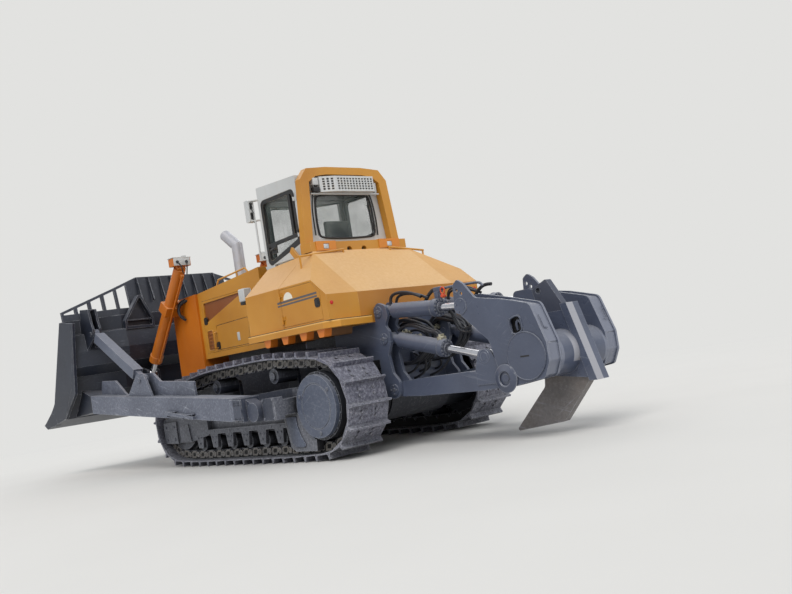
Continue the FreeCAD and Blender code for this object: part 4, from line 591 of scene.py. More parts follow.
def drum(start, end, radius, sides=24, edge=0.0, segments=1):
    """A round bar between two points, its rims chamfered."""
    start = Vector(start)
    end = Vector(end)
    free()
    bpy.ops.mesh.primitive_cylinder_add(vertices=sides, radius=radius, depth=(end - start).length,
                                        location=(start + end) / 2,
                                        rotation=(end - start).to_track_quat("Z", "Y").to_euler())
    piece = settled()
    if edge:
        along = (end - start).normalized()
        edit(piece, lambda centre, normal: abs(normal.dot(along)) > 0.9)
        bpy.ops.mesh.bevel(offset=edge, segments=segments, affect="EDGES")
        leave()
    return piece


def plate(outline, axis, low, high, edge=0.0):
    """A plate from its outline in the two other axes, between two places along its axis."""
    spread = [k for k in range(3) if k != axis]
    free()
    bpy.ops.mesh.primitive_circle_add(vertices=len(outline), fill_type="NGON")
    piece = bpy.context.object
    for corner, point in zip(piece.data.vertices, outline):
        corner.co[axis] = low
        corner.co[spread[0]], corner.co[spread[1]] = point
    along = [0.0, 0.0, 0.0]
    along[axis] = high - low
    edit(piece)
    bpy.ops.mesh.extrude_region_move(TRANSFORM_OT_translate={"value": along})
    bpy.ops.mesh.select_all(action="SELECT")
    bpy.ops.mesh.normals_make_consistent(inside=False)
    if edge:
        bpy.ops.mesh.bevel(offset=edge, segments=2, affect="EDGES")
    leave()
    return piece


def tube(points, radius, closed=False, straight=False, fine=3):
    """A hose, seal or bent pipe along its points."""
    line = bpy.data.curves.new("tube", "CURVE")
    line.dimensions = "3D"
    line.resolution_u = 8
    run = line.splines.new("POLY" if straight else "NURBS")
    run.points.add(len(points) - 1)
    for knot, point in zip(run.points, points):
        knot.co = (*point, 1.0)
    if not straight:
        run.order_u = 3
        run.use_endpoint_u = not closed
    run.use_cyclic_u = closed
    line.bevel_depth = radius
    line.bevel_resolution = fine
    line.use_fill_caps = True
    piece = bpy.data.objects.new("tube", line)
    bpy.context.scene.collection.objects.link(piece)
    hold(piece)
    bpy.ops.object.convert(target="MESH")
    return bpy.context.object


def rounded(corners, cut):
    """Each corner of an outline as two points on its sides, so that a closed tube turns round it."""
    points = []
    for i, corner in enumerate(corners):
        here = Vector(corner)
        for other in (corners[i - 1], corners[(i + 1) % len(corners)]):
            away = Vector(other) - here
            points.append(here + away.normalized() * cut)
    return points


def copied(piece, moves):
    """Copies of a piece, each with its own mesh."""
    twins = []
    for move in moves:
        twin = piece.copy()
        twin.data = piece.data.copy()
        twin.data.transform(move)
        bpy.context.scene.collection.objects.link(twin)
        twins.append(twin)
    return twins


def mirrored(piece):
    """The same piece on the right side."""
    twin = copied(piece, [Matrix.Diagonal((1.0, -1.0, 1.0, 1.0))])[0]
    twin.data.flip_normals()
    return twin


def joined(parts):
    """Parts made one mesh."""
    hold(parts[0])
    for part in parts:
        part.select_set(True)
    if len(parts) > 1:
        bpy.ops.object.join()
    return bpy.context.object


def hand_over(piece, name, finish, body="chassis", slot=None, smooth=35):
    """Names a piece, moves it into the frame, and gives it its finish and body."""
    piece.name = name
    piece.data.name = name
    piece.data.transform(Matrix.Translation((sprocket_x, 0, 0)))
    piece.data.materials.clear()
    piece.data.materials.append(finish)
    hold(piece)
    bpy.ops.object.shade_smooth_by_angle(angle=math.radians(smooth))
    slot = slot or slots.get(finish, "dark_steel_paint")
    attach(piece, body)


def fitted(parts, name, finish, body="chassis"):
    """Joins parts in one piece of that name, which rides on a body."""
    piece = joined(parts)
    hand_over(piece, name, finish, body)
    return piece


def on_both(parts, name, finish, body="chassis", slot=None):
    """A left piece and its mirror image on the right; a left body's right one carries the mirror image."""
    left = joined(parts)
    right = mirrored(left)
    hand_over(left, name + "_left", finish, body, slot)
    hand_over(right, name + "_right", finish, body.replace("left", "right"), slot)


def screws(places, along, size, height, sides=6):
    """Screw heads that stand on a face."""
    along = Vector(along).normalized()
    first = Vector(places[0])
    head = drum(first - along * 0.002, first + along * height, size, sides, size * 0.14)
    return [head] + copied(head, [Matrix.Translation(Vector(place) - first) for place in places[1:]])


def ring_places(centre, along, radius, count, start=0.0):
    """Places round a circle about an axis."""
    along = Vector(along).normalized()
    side = along.orthogonal().normalized()
    up = along.cross(side)
    angles = [start + 2 * math.pi * k / count for k in range(count)]
    return [Vector(centre) + side * radius * math.cos(a) + up * radius * math.sin(a) for a in angles]


# Seat
def stuffed(piece, voxel, pressure, cap):
    """Swells a pad as cloth under pressure, no point moving further than the cap, and keeps the shape."""
    hold(piece)
    skin = piece.modifiers.new("skin", "REMESH")
    skin.mode = "VOXEL"
    skin.voxel_size = voxel
    bpy.ops.object.modifier_apply(modifier=skin.name)
    before = [corner.co.copy() for corner in piece.data.vertices]
    filling = piece.modifiers.new("filling", "CLOTH")
    filling.settings.use_pressure = True
    filling.settings.uniform_pressure_force = pressure
    filling.settings.effector_weights.gravity = 0.0
    filling.point_cache.frame_end = 20
    for step in range(1, 21):
        bpy.context.scene.frame_set(step)
    bpy.ops.object.modifier_apply(modifier=filling.name)
    bpy.context.scene.frame_set(1)
    for corner, old in zip(piece.data.vertices, before):
        moved = corner.co - old
        if moved.length > cap:
            corner.co = old + moved.normalized() * cap
    smoother = piece.modifiers.new("smoother", "SMOOTH")
    smoother.iterations = 3
    bpy.ops.object.modifier_apply(modifier=smoother.name)
    finer = piece.modifiers.new("finer", "SUBSURF")
    finer.levels = 1
    finer.render_levels = 1
    bpy.ops.object.modifier_apply(modifier=finer.name)


def seams(piece, axis, stations, depth, facing):
    """Sewn channels across a pad's face."""
    for corner in piece.data.vertices:
        if corner.normal.dot(facing) > 0.3:
            near = min(abs(corner.co[axis] - station) for station in stations)
            corner.co -= facing * depth * math.exp(-(near / 0.011) ** 2)


seat_z = 2.40
cushion = block((0.835, -0.235, seat_z + 0.012), (1.205, 0.235, seat_z + 0.1), edge=0.03, segments=3)
stuffed(cushion, 0.009, 4.0, 0.012)
seams(cushion, 1, (-0.13, 0.13), 0.012, Vector((0, 0, 1)))
backrest = plate([(0.815, seat_z + 0.105), (0.885, seat_z + 0.105), (0.85, seat_z + 0.635),
                  (0.775, seat_z + 0.635)],
                 1, -0.215, 0.215, edge=0.02)
stuffed(backrest, 0.009, 4.0, 0.01)
seams(backrest, 1, (-0.12, 0.12), 0.012, Vector((1, 0, 0)))
for pad, name in ((cushion, "seat_cushion"), (backrest, "seat_backrest")):
    hand_over(pad, name, seat_cover, smooth=60)
    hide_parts("operator_seat")
pedestal = [block((0.86, -0.16, 2.112), (1.14, 0.16, seat_z - 0.02), 0.02),
            block((0.84, -0.21, seat_z - 0.03), (1.19, 0.21, seat_z + 0.01), 0.012)]
for side in (-1, 1):
    low, high = sorted((side * 0.265, side * 0.395))
    pedestal.append(block((0.87, low, 2.112), (1.23, high, seat_z + 0.1), 0.02, 3))
    pedestal.append(block((0.865, low + 0.01, seat_z + 0.1), (1.12, high - 0.01, seat_z + 0.158), 0.025, 3))
    pedestal.append(drum((1.18, side * 0.33, seat_z + 0.09), (1.2, side * 0.33, seat_z + 0.2), 0.014, 12,
                         0.004))
    pedestal.append(drum((1.2, side * 0.33, seat_z + 0.19), (1.205, side * 0.33, seat_z + 0.24), 0.026, 16,
                         0.01, 2))
consoles = fitted(pedestal, "seat_consoles", black_plastic)
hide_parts("operator_seat")
dash = [block((1.5, -0.3, 2.12), (1.68, 0.3, 2.62), 0.03, 3),
        drum((1.42, -0.12, 2.5), (1.42, 0.12, 2.5), 0.02, 12, 0.004),
        block((1.44, -0.13, 2.6), (1.52, 0.13, 2.76), 0.015)]
fitted(dash, "instrument_stand", black_plastic)


# Cab
window_low = 2.755
window_high = 3.345
rear_outline = [(0.609, -0.5, window_low), (0.609, 0.5, window_low), (0.609, 0.48, window_high),
                (0.609, -0.48, window_high)]
front_outline = [(1.834, -0.36, 2.69), (1.834, 0.36, 2.69), (1.834, 0.36, 3.43), (1.834, -0.36, 3.43)]
seals = [tube(rounded(rear_outline, 0.07), 0.014, closed=True),
         tube(rounded(front_outline, 0.05), 0.012, closed=True)]
wiper = [tube([(0.6, -0.43, 2.8), (0.585, -0.435, 2.86), (0.583, -0.42, 3.05), (0.59, -0.4, 3.2)], 0.008),
         tube([(0.596, -0.455, 2.86), (0.594, -0.43, 3.08), (0.596, -0.415, 3.3)], 0.009),
         drum((0.612, -0.43, 2.795), (0.58, -0.43, 2.795), 0.022, 16, 0.004),
         tube([(0.6, -0.52, 2.78), (0.59, -0.525, 2.95), (0.585, -0.5, 3.2), (0.59, -0.47, 3.36),
               (0.6, -0.4, 3.39)],
              0.011)]
fitted(seals + wiper, "rear_window_seal_and_wiper", rubber)

fittings = [block((0.5, 0.46, 3.45), (0.565, 0.545, 3.545), 0.008),
            block((0.535, -0.6, 3.333), (0.572, 0.57, 3.351), 0.003),
            block((0.545, -0.575, 3.36), (0.6, -0.545, 3.5), 0.004)]
fitted(fittings, "cooler_shelf_and_box", white)
fitted([block((0.49, 0.455, 3.36), (0.555, 0.56, 3.42), 0.008),
        tube([(0.53, 0.5, 3.42), (0.54, 0.5, 3.46)], 0.012),
        tube([(0.56, 0.53, 3.37), (0.58, 0.56, 3.2), (0.585, 0.565, 3.0), (0.59, 0.56, 2.8)], 0.01)],
       "cooler_bracket_and_drain", rubber)
base_lenses = [block((0.386, y - 0.043, 2.588), (0.42, y + 0.043, 2.652), 0.008, 3) for y in (0.58, -0.515)]
fitted(base_lenses, "hoop_lamp_lenses", lamp_lens)

corner_lenses = []
for z in (3.276, 3.414):
    corner_lenses.append(drum((1.647, 0.82, z), (1.662, 0.82, z), 0.034, 20, 0.005, 2))
on_both(corner_lenses, "corner_lamp_lenses", lamp_lens)
sockets = []
for z in (3.276, 3.414):
    sockets.append(block((1.572, 0.8, z - 0.04), (1.602, 0.84, z + 0.04), 0.008))
    sockets.append(tube([(1.57, 0.82, z - 0.03), (1.55, 0.82, z - 0.06), (1.552, 0.81, z - 0.1)], 0.006))
on_both(sockets, "corner_lamp_sockets", rubber)

lamp_box = block((1.535, 1.03, 2.125), (1.68, 1.16, 2.3), 0.02, 3)
sunk_face(lamp_box, backwards, (0.012, -0.006))
on_both([lamp_box], "side_lamp_box", white)
arm = [tube([(1.3, 1.1, 2.05), (1.42, 1.1, 2.05), (1.55, 1.1, 2.09), (1.6, 1.1, 2.14)], 0.014),
       block((1.55, 1.04, 2.085), (1.67, 1.15, 2.128), 0.01),
       block((1.308, 1.04, 2.0), (1.325, 1.16, 2.1), 0.006),
       tube([(1.312, 1.22, 1.86), (1.345, 1.22, 1.87), (1.345, 1.22, 1.99), (1.312, 1.22, 2.0)], 0.011)]
on_both(arm, "side_lamp_arm", black_plastic)


# Latches, stops and handles of the doors
def latch(x, y, z):
    """A sunk paddle latch in its black surround."""
    surround = plate(rounded([(x - 0.05, z - 0.056), (x + 0.05, z - 0.056), (x + 0.05, z + 0.056),
                              (x - 0.05, z + 0.056)], 0.02), 1, y - 0.004, y + 0.008, 0.003)
    sunk_face(surround, outwards, (0.014, -0.007))
    return [surround, block((x - 0.026, y, z - 0.02), (x + 0.028, y + 0.01, z + 0.03), 0.003),
            drum((x, y, z - 0.036), (x, y + 0.009, z - 0.036), 0.009, 12, 0.002)]


on_both(latch(-0.175, 1.3, 1.86), "service_door_latch", black_plastic, "service_door_left")
on_both(latch(3.5, 0.6, 2.07) + latch(3.235, 0.6, 1.668), "engine_door_latches", black_plastic,
        "engine_door_left")
vent = [block((3.35, 0.596, 1.622), (3.508, 0.6015, 1.912), 0.001)]
vent += [block((3.362, 0.6, 1.64 + 0.052 * k), (3.496, 0.609, 1.66 + 0.052 * k), 0.003) for k in range(5)]
on_both(vent, "vent_panels", shaded_orange, "engine_door_left")
rim = rounded([(3.347, 0.601, 1.618), (3.511, 0.601, 1.618), (3.511, 0.601, 1.916), (3.347, 0.601, 1.916)],
              0.02)
on_both([tube(rim, 0.008, closed=True, straight=True)], "vent_rims", yellow, "engine_door_left")
hoop = tube([(3.25, 0.597, 1.87), (3.25, 0.645, 1.862), (3.25, 0.645, 1.64), (3.25, 0.597, 1.632)], 0.011,
            straight=True)
on_both([hoop], "vent_hoop", yellow, "engine_door_left")
reflectors = [drum((-0.35, y, 1.83), (-0.362, y, 1.83), 0.024, 20, 0.004, 2) for y in (1.235, -1.235)]
fitted(reflectors, "rear_reflectors", red_plastic)


# Lift cylinder lamps, cap and hoses
def lift_trim():
    """Lenses, sockets and the pale cover plate on the lift cylinders' heads, and the hoses at their collars."""
    lamps_y = (0.722, 0.878)
    lenses = [drum((3.75, y, 3.02), (3.762, y, 3.02), 0.05, 24, 0.006, 2) for y in lamps_y]
    on_both(lenses, "lift_lamp_lenses", lamp_lens, "blade_lift_barrel_left")
    cover = [block((3.61, 0.64, 3.083), (3.765, 0.96, 3.096), 0.004),
             block((3.64, 0.7, 3.094), (3.7, 0.76, 3.125), 0.006),
             block((3.612, 0.66, 2.968), (3.621, 0.94, 3.085), 0.002)]
    on_both(cover, "lift_lamp_cover", white, "blade_lift_barrel_left")
    sockets = [drum((3.619, y, 3.02), (3.606, y, 3.02), 0.026, 16, 0.004) for y in lamps_y]
    sockets.append(tube([(3.608, 0.722, 3.02), (3.57, 0.74, 2.98), (3.56, 0.76, 2.9), (3.62, 0.74, 2.83)],
                        0.009))
    sockets.append(tube([(3.608, 0.878, 3.02), (3.57, 0.86, 2.98), (3.56, 0.84, 2.9), (3.62, 0.8, 2.84)],
                        0.009))
    on_both(sockets, "lift_lamp_wiring", hose_rubber, "blade_lift_barrel_left")
    trunnion_hoses = [tube([(4.02, 0.66, 2.2), (4.05, 0.72, 2.24), (4.08, 0.72, 2.33), (4.05, 0.69, 2.46),
                            (3.95, 0.62, 2.48)], 0.02),
                      tube([(3.98, 0.66, 2.16), (4.0, 0.73, 2.2), (4.03, 0.74, 2.33), (4.0, 0.7, 2.43),
                            (3.9, 0.62, 2.46)], 0.02)]
    on_both(trunnion_hoses, "lift_hoses", hose_rubber)


lift_trim()


# Chain of the tracks
chain_pitch = 0.2286
chain_circles = [(0.0, sprocket_z, 0.496), (1.01, 1.087, 0.154), (2.4, 1.062, 0.154), (3.48, 0.62, 0.46),
                 (2.95, 0.3, 0.156), (0.6, 0.3, 0.156)]     # x, z and radius of what it runs round


def chain_line():
    """The centres of the chain's pins, evenly spaced round its circles."""
    ends = []
    for i, (x0, z0, r0) in enumerate(chain_circles):
        x1, z1, r1 = chain_circles[(i + 1) % len(chain_circles)]
        out = math.atan2(z1 - z0, x1 - x0) + math.acos((r0 - r1) / math.hypot(x1 - x0, z1 - z0))
        ends.append(((x0 + r0 * math.cos(out), z0 + r0 * math.sin(out)),
                     (x1 + r1 * math.cos(out), z1 + r1 * math.sin(out))))
    path = []
    for i, (x, z, radius) in enumerate(chain_circles):
        begin = math.atan2(ends[i - 1][1][1] - z, ends[i - 1][1][0] - x)
        finish = math.atan2(ends[i][0][1] - z, ends[i][0][0] - x)
        while finish > begin:
            finish -= 2 * math.pi
        steps = max(1, int((begin - finish) / math.radians(3.0)))
        for k in range(steps + 1):
            angle = begin + (finish - begin) * k / steps
            path.append(Vector((x + radius * math.cos(angle), 0.0, z + radius * math.sin(angle))))
    path.append(path[0])
    total = sum((b - a).length for a, b in zip(path, path[1:]))
    count = round(total / chain_pitch)
    pins = []
    walked = 0.0
    i = 0
    for k in range(count):
        target = total * k / count
        while walked + (path[i + 1] - path[i]).length < target:
            walked += (path[i + 1] - path[i]).length
            i += 1
        pins.append(path[i].lerp(path[i + 1], (target - walked) / (path[i + 1] - path[i]).length))
    return pins


def chain_places():
    """A matrix for each link: its origin at the first pin, X along the link and Z out to the shoe."""
    pins = chain_line()
    places = []
    for i, pin in enumerate(pins):
        along = (pins[(i + 1) % len(pins)] - pin).normalized()
        out = Vector((-along.z, 0.0, along.x))
        turn = Matrix((along, Vector(outwards), out)).transposed().to_4x4()
        places.append(Matrix.Translation(pin) @ turn)
    return places


link_places = chain_places()
link_face = track_y + 0.15
link_side = plate([(0.05, 0.045), (0.062, -0.03), (0.1, -0.052), (0.178, -0.052), (0.19, -0.01),
                   (0.172, 0.03),
                   (0.15, 0.05)], 1, link_face - 0.004, link_face + 0.0075)
sunk_face(link_side, outwards, (0.02, 0.0), (0.004, -0.008))
pin_end = drum((0.0, link_face - 0.004, 0.0), (0.0, link_face + 0.009, 0.0), 0.04, 12)
sunk_face(pin_end, outwards, (0.014, 0.0), (0.004, -0.008))
link_parts = copied(link_side, link_places) + copied(pin_end, link_places)
for part in (link_side, pin_end):
    bpy.data.objects.remove(part)
on_both(link_parts, "chain_links", link_steel)
shoe_bolt = drum((0.09, 1.201, 0.08), (0.09, 1.201, 0.094), 0.019, 6, 0.003)
four = [Matrix.Translation((dx, dy, 0)) for dx in (0.0, 0.075) for dy in (0.0, -0.222)]
bolt_moves = [place @ Matrix.Translation((0.045, 0, 0)) @ spot for place in link_places for spot in four]
shoe_bolts = copied(shoe_bolt, bolt_moves)
bpy.data.objects.remove(shoe_bolt)
on_both(shoe_bolts, "shoe_bolts", track_steel)


# Undercarriage screws and plates
cover_screws = screws(ring_places((0.0, 1.42, sprocket_z), outwards, 0.318, 3, 0.35), outwards, 0.024, 0.012,
                      16)
cover_screws += screws(ring_places((0.0, 1.365, sprocket_z), outwards, 0.39, 24), outwards, 0.009, 0.006)
cap_places = [(x, 1.8, z) for x in (1.02, 1.055, 1.11, 1.14) for z in (0.605, 0.635, 0.8, 0.83)]
block_places = [(x, 1.68, z) for x in (0.485, 0.69) for z in (0.59, 0.81)]
idler_places = [(x, 1.33, z) for x in (3.6, 3.83) for z in (0.4, 0.58)]
undercarriage = cover_screws + screws(block_places, outwards, 0.014, 0.012)
undercarriage += screws(idler_places, outwards, 0.02, 0.014)
on_both(undercarriage, "undercarriage_screws", bolt_steel)
arm_caps = [block((1.0, 1.785, 0.585), (1.165, 1.797, 0.85), 0.003)]
on_both(arm_caps, "push_arm_caps", arm_steel, "blade_group")
on_both(screws(cap_places, outwards, 0.015, 0.01) + [block((1.166, 1.783, 0.585), (1.172, 1.797, 0.852),
                                                           0.001)],
        "push_arm_cap_screws", dark_screws, "blade_group")
steps = []
for rear, front, z in ((2.12, 2.46, 0.755), (2.58, 2.86, 0.815)):
    steps += [block((rear, 1.79, z), (front, 1.838, z + 0.014), 0.003),
              block((rear + 0.03, 1.79, z - 0.05), (rear + 0.045, 1.83, z + 0.002), 0.002),
              block((front - 0.045, 1.79, z - 0.05), (front - 0.03, 1.83, z + 0.002), 0.002)]
on_both(steps, "push_arm_steps", arm_steel, "blade_group")

# Plow bolts of the cutting edge
face_centre = (7.1317, 2.6276)
face_radius = 1.9
edge_angle = math.radians(-112.32)
knee_y = 1.15
wing_slope = 0.427


def face_place(reach, y):
    """A place on the blade's hollow face, some way up from its edge, and the direction out of the face there."""
    angle = edge_angle - reach / face_radius
    beyond = max(0.0, abs(y) - knee_y)
    place = Vector((face_centre[0] + face_radius * math.cos(angle) + wing_slope * beyond, y,
                    face_centre[1] + face_radius * math.sin(angle)))
    slope = math.copysign(wing_slope, y) if beyond else 0.0
    out = Vector((slope, 1.0, 0.0)).cross(Vector((math.sin(angle), 0.0, -math.cos(angle)))).normalized()
    return place, out


bolt_heads = []
for k in range(12):
    for reach in (0.11, 0.2):
        place, out = face_place(reach, 0.09 + 0.1515 * k)
        bolt_heads.append(drum(place - out * 0.003, place + out * 0.006, 0.02, 10, 0.002))
on_both(bolt_heads, "cutting_edge_bolts", bolt_steel, "blade_group")
guard_face = 1.36
sweep_radius = 0.425
sweep = [(sweep_radius * math.cos(math.radians(a)), guard_face,
          sprocket_z + sweep_radius * math.sin(math.radians(a)))
         for a in (-64, -52, -40, -28, -16, -8)]
fairing = [tube(sweep, 0.012, straight=True),
           plate([(0.5, 0.56), (0.71, 0.56), (0.64, 0.23), (0.56, 0.185), (0.4, 0.185), (0.37, 0.21),
                  (0.45, 0.33),
                  (0.495, 0.45)], 1, guard_face - 0.004, guard_face + 0.014, 0.006)]
on_both(fairing, "sprocket_guard_plates", drive_steel)
roller_screws = []
for k in range(1, 7):
    x = 0.6 + 2.35 / 6 * k
    roller_screws += [(x - 0.045, 1.3, 0.385), (x + 0.045, 1.3, 0.385), (x, 1.3, 0.31)]
frame_screws = screws(roller_screws, outwards, 0.014, 0.012)
frame_screws += screws([(x, 1.3, 0.46) for x in (0.8, 0.95, 1.15, 1.35, 1.55, 1.75, 1.95, 2.15, 2.35, 2.55)],
                       outwards, 0.011, 0.008)
on_both(frame_screws, "track_frame_screws", bolt_steel)
plates = [block((2.635, 0.598, 1.68), (2.7, 0.603, 1.8), 0.001)]
on_both(plates, "blank_plates", white)


# Ripper
cylinder_y = 0.51
tilt_front = Vector((-0.44, cylinder_y, 1.65))
tilt_rear = Vector((-1.80, cylinder_y, 1.52))
lift_front = Vector((-0.47, cylinder_y, 1.32))
lift_rear = Vector((-1.99, cylinder_y, 0.94))
barrel_length = 0.94
head_radius = 0.104


def cylinder_head(front, rear, body, name):
    """The ring of screws and the wiper seal on a ripper cylinder's head."""
    along = (rear - front).normalized()
    face = front + along * barrel_length
    heads = screws(ring_places(face, along, 0.086, 12), along, 0.012, 0.012)
    band = drum(face - along * 0.078, face - along * 0.066, head_radius + 0.004, 32, 0.003)
    gland = drum(face - along * 0.002, face + along * 0.018, 0.062, 28, 0.004)
    sunk_face(gland, along, (0.014, -0.006))
    on_both(heads + [band, gland], name, bolt_steel, body)


cylinder_head(tilt_front, tilt_rear, "ripper_tilt_barrel_left", "tilt_head_screws")
cylinder_head(lift_front, lift_rear, "ripper_lift_barrel_left", "ripper_lift_head_screws")

tilt_hoses = [
    tube([(-0.56, 0.5, 1.72), (-0.56, 0.5, 1.79), (-0.64, 0.5, 1.835), (-0.8, 0.5, 1.83), (-0.96, 0.5, 1.79),
          (-1.08, 0.49, 1.73)], 0.019),
    tube([(-0.6, 0.45, 1.7), (-0.61, 0.45, 1.77), (-0.7, 0.45, 1.81), (-0.86, 0.45, 1.8), (-1.02, 0.45, 1.76),
          (-1.16, 0.46, 1.7)], 0.017),
    tube([(-1.08, 0.43, 1.67), (-1.16, 0.43, 1.75), (-1.27, 0.44, 1.79), (-1.36, 0.44, 1.775)], 0.022),
    tube([(-1.37, 0.44, 1.56), (-1.42, 0.37, 1.52), (-1.46, 0.36, 1.36), (-1.56, 0.36, 1.26),
          (-1.68, 0.37, 1.3)], 0.012),
    tube([(-1.36, 0.44, 1.6), (-1.38, 0.36, 1.54), (-1.41, 0.35, 1.38), (-1.5, 0.35, 1.22),
          (-1.66, 0.36, 1.24)], 0.012)]
on_both(tilt_hoses, "tilt_hoses", hose_rubber, "ripper_tilt_barrel_left")
tilt_pipe = [tube([(-1.3, 0.445, 1.765), (-1.5, 0.445, 1.775), (-1.75, 0.445, 1.762), (-1.92, 0.445, 1.755),
                   (-1.99, 0.445, 1.742), (-2.01, 0.445, 1.705)], 0.015),
             block((-1.38, 0.415, 1.735), (-1.27, 0.475, 1.8), 0.01),
             block((-1.36, 0.42, 1.61), (-1.3, 0.5, 1.745), 0.008)]
fitted(tilt_pipe, "tilt_pipe_left", dark, "ripper_tilt_barrel_left")
ring = [tube([(-1.42 + 0.032 * math.cos(a), 0.47,
               1.745 + 0.04 * math.sin(a)) for a in [math.pi * k / 6 for k in range(12)]],
             0.009, closed=True), drum((-1.42, 0.44, 1.685), (-1.42, 0.5, 1.685), 0.02, 12, 0.004)]
fitted(ring, "tilt_pipe_ring", cap_orange, "ripper_tilt_barrel_left")

bundle = []
for k, (side, height, far) in enumerate(((0.375, 1.5, 1.0), (0.34, 1.52, 0.96), (0.29, 1.49, 1.02), (0.24,
                                                                                                     1.51, 0.98))):
    drop = 0.02 * (k % 3)
    bundle.append(tube([(-0.375, side, height - 0.12), (-0.45, side, height - 0.02),
                        (-0.58, side - 0.01, height + 0.02 - drop),
                        (-0.75, side, height - 0.03 - drop), (-0.9, side, 1.42 - drop),
                        (-0.98 * far, side, 1.3), (-0.9, side - 0.03, 1.14), (-0.72, side - 0.05, 1.02),
                        (-0.5, side - 0.06, 0.97), (-0.375, side - 0.07, 0.99)], 0.023 - 0.002 * (k % 2)))
for side, height in ((0.3, 1.2), (0.12, 1.36)):
    bundle.append(tube([(-0.375, side, height), (-0.5, side, height + 0.03),
                        (-0.66, side - 0.03, height - 0.04),
                        (-0.72, side - 0.08, height - 0.2), (-0.62, side - 0.14, height - 0.34),
                        (-0.45, side - 0.16, height - 0.4), (-0.375, side - 0.16, height - 0.41)], 0.016))
for k in range(2):
    y = 0.24 - 0.2 * k
    bundle.append(tube([(-0.375, y, 0.86), (-0.46, y, 0.87), (-0.55, y - 0.03, 0.93), (-0.56, y - 0.08, 1.03),
                        (-0.46, y - 0.1, 1.1), (-0.375, y - 0.1, 1.1)], 0.014))
on_both(bundle, "ripper_hose_bundle", hose_rubber)

head_hoses = []
for side, height in ((0.53, 0.0), (0.49, 0.012)):
    head_hoses.append(tube([(-0.6, side - 0.04, 1.39), (-0.68, side - 0.06, 1.43 + height),
                            (-0.85, side - 0.05, 1.42 + height),
                            (-1.02, side - 0.03, 1.36 + height), (-1.18, side - 0.01, 1.3 + height),
                            (-1.28, side, 1.29 + height),
                            (-1.325, side, 1.24)], 0.017))
on_both(head_hoses, "lift_head_hoses", hose_rubber, "ripper_lift_barrel_left")
elbows = [block((-1.36, 0.465, 1.185), (-1.29, 0.555, 1.235), 0.008),
          drum((-1.325, 0.53, 1.22), (-1.325, 0.53, 1.262), 0.022, 6, 0.003),
          drum((-1.325, 0.49, 1.22), (-1.325, 0.49, 1.262), 0.022, 6, 0.003)]
on_both(elbows, "lift_head_elbows", fitting_zinc, "ripper_lift_barrel_left")
rear_valve = [block((-0.45, -0.22, 0.98), (-0.388, 0.16, 1.12), 0.01),
              block((-0.44, -0.16, 1.12), (-0.388, 0.1, 1.2), 0.008)]
rear_valve += [drum((-0.44, y, 1.05), (-0.478, y, 1.05), 0.03, 20, 0.005) for y in (-0.16, -0.06, 0.04, 0.11)]
rear_valve += screws([(-0.45, y, z) for y in (-0.2, 0.14) for z in (1.0, 1.1)], backwards, 0.009, 0.008)
fitted(rear_valve, "ripper_valve", dark)
ports = [drum((-0.388, y, z), (-0.43, y, z), 0.026, 6, 0.004)
         for y, z in ((0.385, 1.38), (0.35, 1.4), (0.31, 1.37), (0.27, 1.39), (0.23, 1.35), (0.19, 1.38),
                      (0.36, 1.24), (0.3, 1.2), (0.12, 1.36), (0.04, 1.3))]
on_both(ports, "ripper_hose_ports", fitting_zinc)


def ripper_trim():
    """The rims, marks and pin locks on the left plate box of the ripper's beam, a black slot, and a black sheet
    behind its window as painted shade.
    """
    face = 0.62
    window = [(-2.436, face + 0.002, 1.287), (-2.6, face + 0.002, 1.321), (-2.622, face + 0.002, 1.145),
              (-2.462, face + 0.002, 1.112)]
    rim = tube(rounded(window, 0.035), 0.009, closed=True)
    groove = block((-2.65, 0.628, 0.876), (-2.53, 0.6335, 0.894), 0.002)
    hook = tube([(-2.5, 0.56, 1.16), (-2.5, 0.575, 1.23), (-2.54, 0.58, 1.27), (-2.575, 0.575, 1.22),
                 (-2.56, 0.56, 1.17)], 0.016)
    # Painted shade: a black sheet inside the box, seen through the window.
    window_shade_sheet = plate([(-2.43, 1.1), (-2.43, 1.3), (-2.63, 1.33), (-2.63, 1.1)], 1, 0.552, 0.556)
    on_both([groove, window_shade_sheet], "beam_disc_slots", rubber, "ripper_beam", slot="dark_steel_paint")
    on_both([rim, hook], "beam_window_rims", dark, "ripper_beam")
    locks = [drum((-2.29, 0.628, 0.68), (-2.29, 0.646, 0.68), 0.092, 32, 0.008, 2)]
    sunk_face(locks[0], outwards, (0.018, 0.0), (0.008, -0.014))
    locks.append(drum((-2.29, 0.63, 0.68), (-2.29, 0.642, 0.68), 0.046, 24, 0.006, 2))
    locks += screws(ring_places((-1.8, 0.63, 1.52), outwards, 0.06, 4, 0.4), outwards, 0.01, 0.008)
    locks.append(tube([(-2.606 + 0.25 * math.cos(a), 0.632, 0.886 + 0.25 * math.sin(a))
                       for a in [2 * math.pi * k / 24 for k in range(24)]], 0.006, closed=True, fine=2))
    on_both(locks, "beam_pin_locks", dark, "ripper_beam")
    marks = [tube([(-2.79, 0.55, 1.285), (-2.834, 0.55, 1.15)], 0.005, straight=True),
             tube([(-2.834, 0.55, 1.15), (-2.838, 0.5, 1.14)], 0.005, straight=True)]
    on_both(marks, "beam_cover_marks", dark, "ripper_beam")


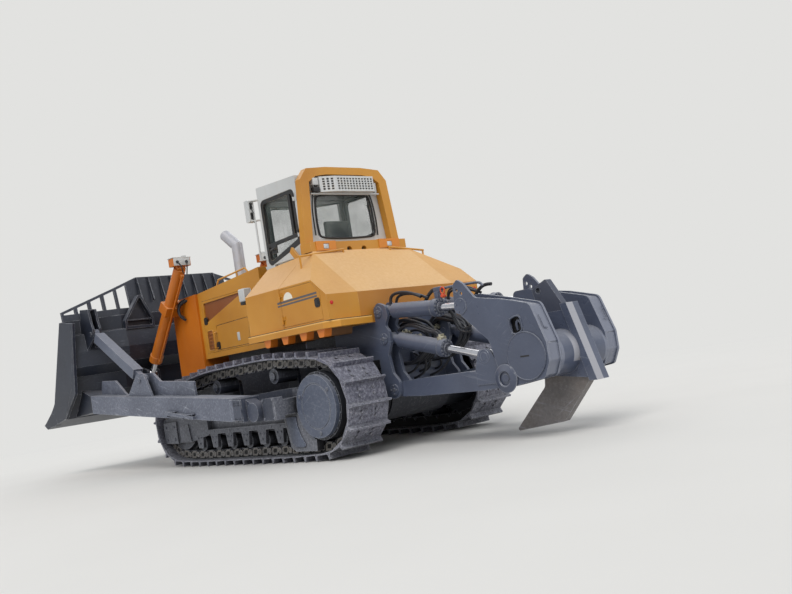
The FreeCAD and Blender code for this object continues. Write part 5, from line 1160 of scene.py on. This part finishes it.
ripper_trim()
ear_face = 0.584
lift_cover = [drum((-1.99, ear_face - 0.004, 0.94), (-1.99, ear_face + 0.004, 0.94), 0.08, 32, 0.003),
              drum((-1.99, ear_face, 0.94), (-1.99, ear_face + 0.007, 0.94), 0.048, 24, 0.002)]
on_both(lift_cover, "lift_pin_covers", beam_steel, "ripper_arm")
pin_caps = []
for x, z in ((-0.52, 0.7), (-0.47, 1.32), (-0.44, 1.65)):
    pin_caps += screws(ring_places((x, 0.629, z), outwards, 0.048, 4, 0.78), outwards, 0.009, 0.008)
    pin_caps.append(drum((x, 0.622, z), (x, 0.636, z), 0.026, 20, 0.004))
on_both(pin_caps, "rear_frame_pin_caps", bolt_steel)


# Floor, lights and background
free()
bpy.ops.mesh.primitive_plane_add(size=240.0, location=(0, 0, 0))
floor = bpy.context.object
floor.name = "floor"
backdrop = rgb(226, 226, 224)
ground = Finish("pale_floor", roughness=0.9)
ground.set("Base Color", ground.mix(rgb(214, 213, 210), rgb(219, 218, 215), ground.noise(0.6, 2.0)))
ground.set("Specular IOR Level", 0.1)
glow = ground.node("ShaderNodeEmission", Color=backdrop, Strength=1.0)
seen = ground.node("ShaderNodeLightPath", output="Is Camera Ray")
distance = ground.node("ShaderNodeVectorMath", {"operation": "LENGTH"}, output=1, n0=ground.place)
blend = ground.node("ShaderNodeMixShader", n0=distance.ramp(7.0, 17.0) * seen,
                    n1=Wire(ground.tree, ground.shader.outputs[0]), n2=glow)
ground.feed(ground.tree.nodes["Material Output"].inputs[0], blend)
floor.data.materials.append(ground.material)

world = bpy.data.worlds.new("studio")
bpy.context.scene.world = world
world.use_nodes = True
sky = Nodes(world.node_tree)
sky_light = Wire(sky.tree, sky.tree.nodes["Background"].outputs[0])
sky.tree.nodes["Background"].inputs["Color"].default_value = (0.93, 0.96, 1.0, 1.0)
sky.tree.nodes["Background"].inputs["Strength"].default_value = 0.55
shown = sky.node("ShaderNodeBackground", Color=backdrop, Strength=1.0)
in_view = sky.node("ShaderNodeLightPath", output="Is Camera Ray")
through_glass = sky.node("ShaderNodeLightPath", output="Is Transmission Ray")
seen_sky = sky.node("ShaderNodeMixShader", n0=in_view.either(through_glass), n1=sky_light, n2=shown)
sky.feed(sky.tree.nodes["World Output"].inputs[0], seen_sky)


def soft_sun(name, toward, strength, spread, colour=(1.0, 1.0, 1.0)):
    """A wide, even light from one side of the studio."""
    light = bpy.data.lights.new(name, "SUN")
    light.energy = strength
    light.angle = math.radians(spread)
    light.color = colour
    holder = bpy.data.objects.new(name, light)
    holder.rotation_euler = Vector(toward).to_track_quat("Z", "Y").to_euler()
    bpy.context.scene.collection.objects.link(holder)


soft_sun("key_light", (-0.35, 0.6, 0.8), 1.7, 40, (1.0, 0.98, 0.95))
soft_sun("rear_light", (-0.9, -0.3, 0.5), 0.6, 60)
soft_sun("front_light", (0.9, -0.5, 0.6), 0.7, 60)
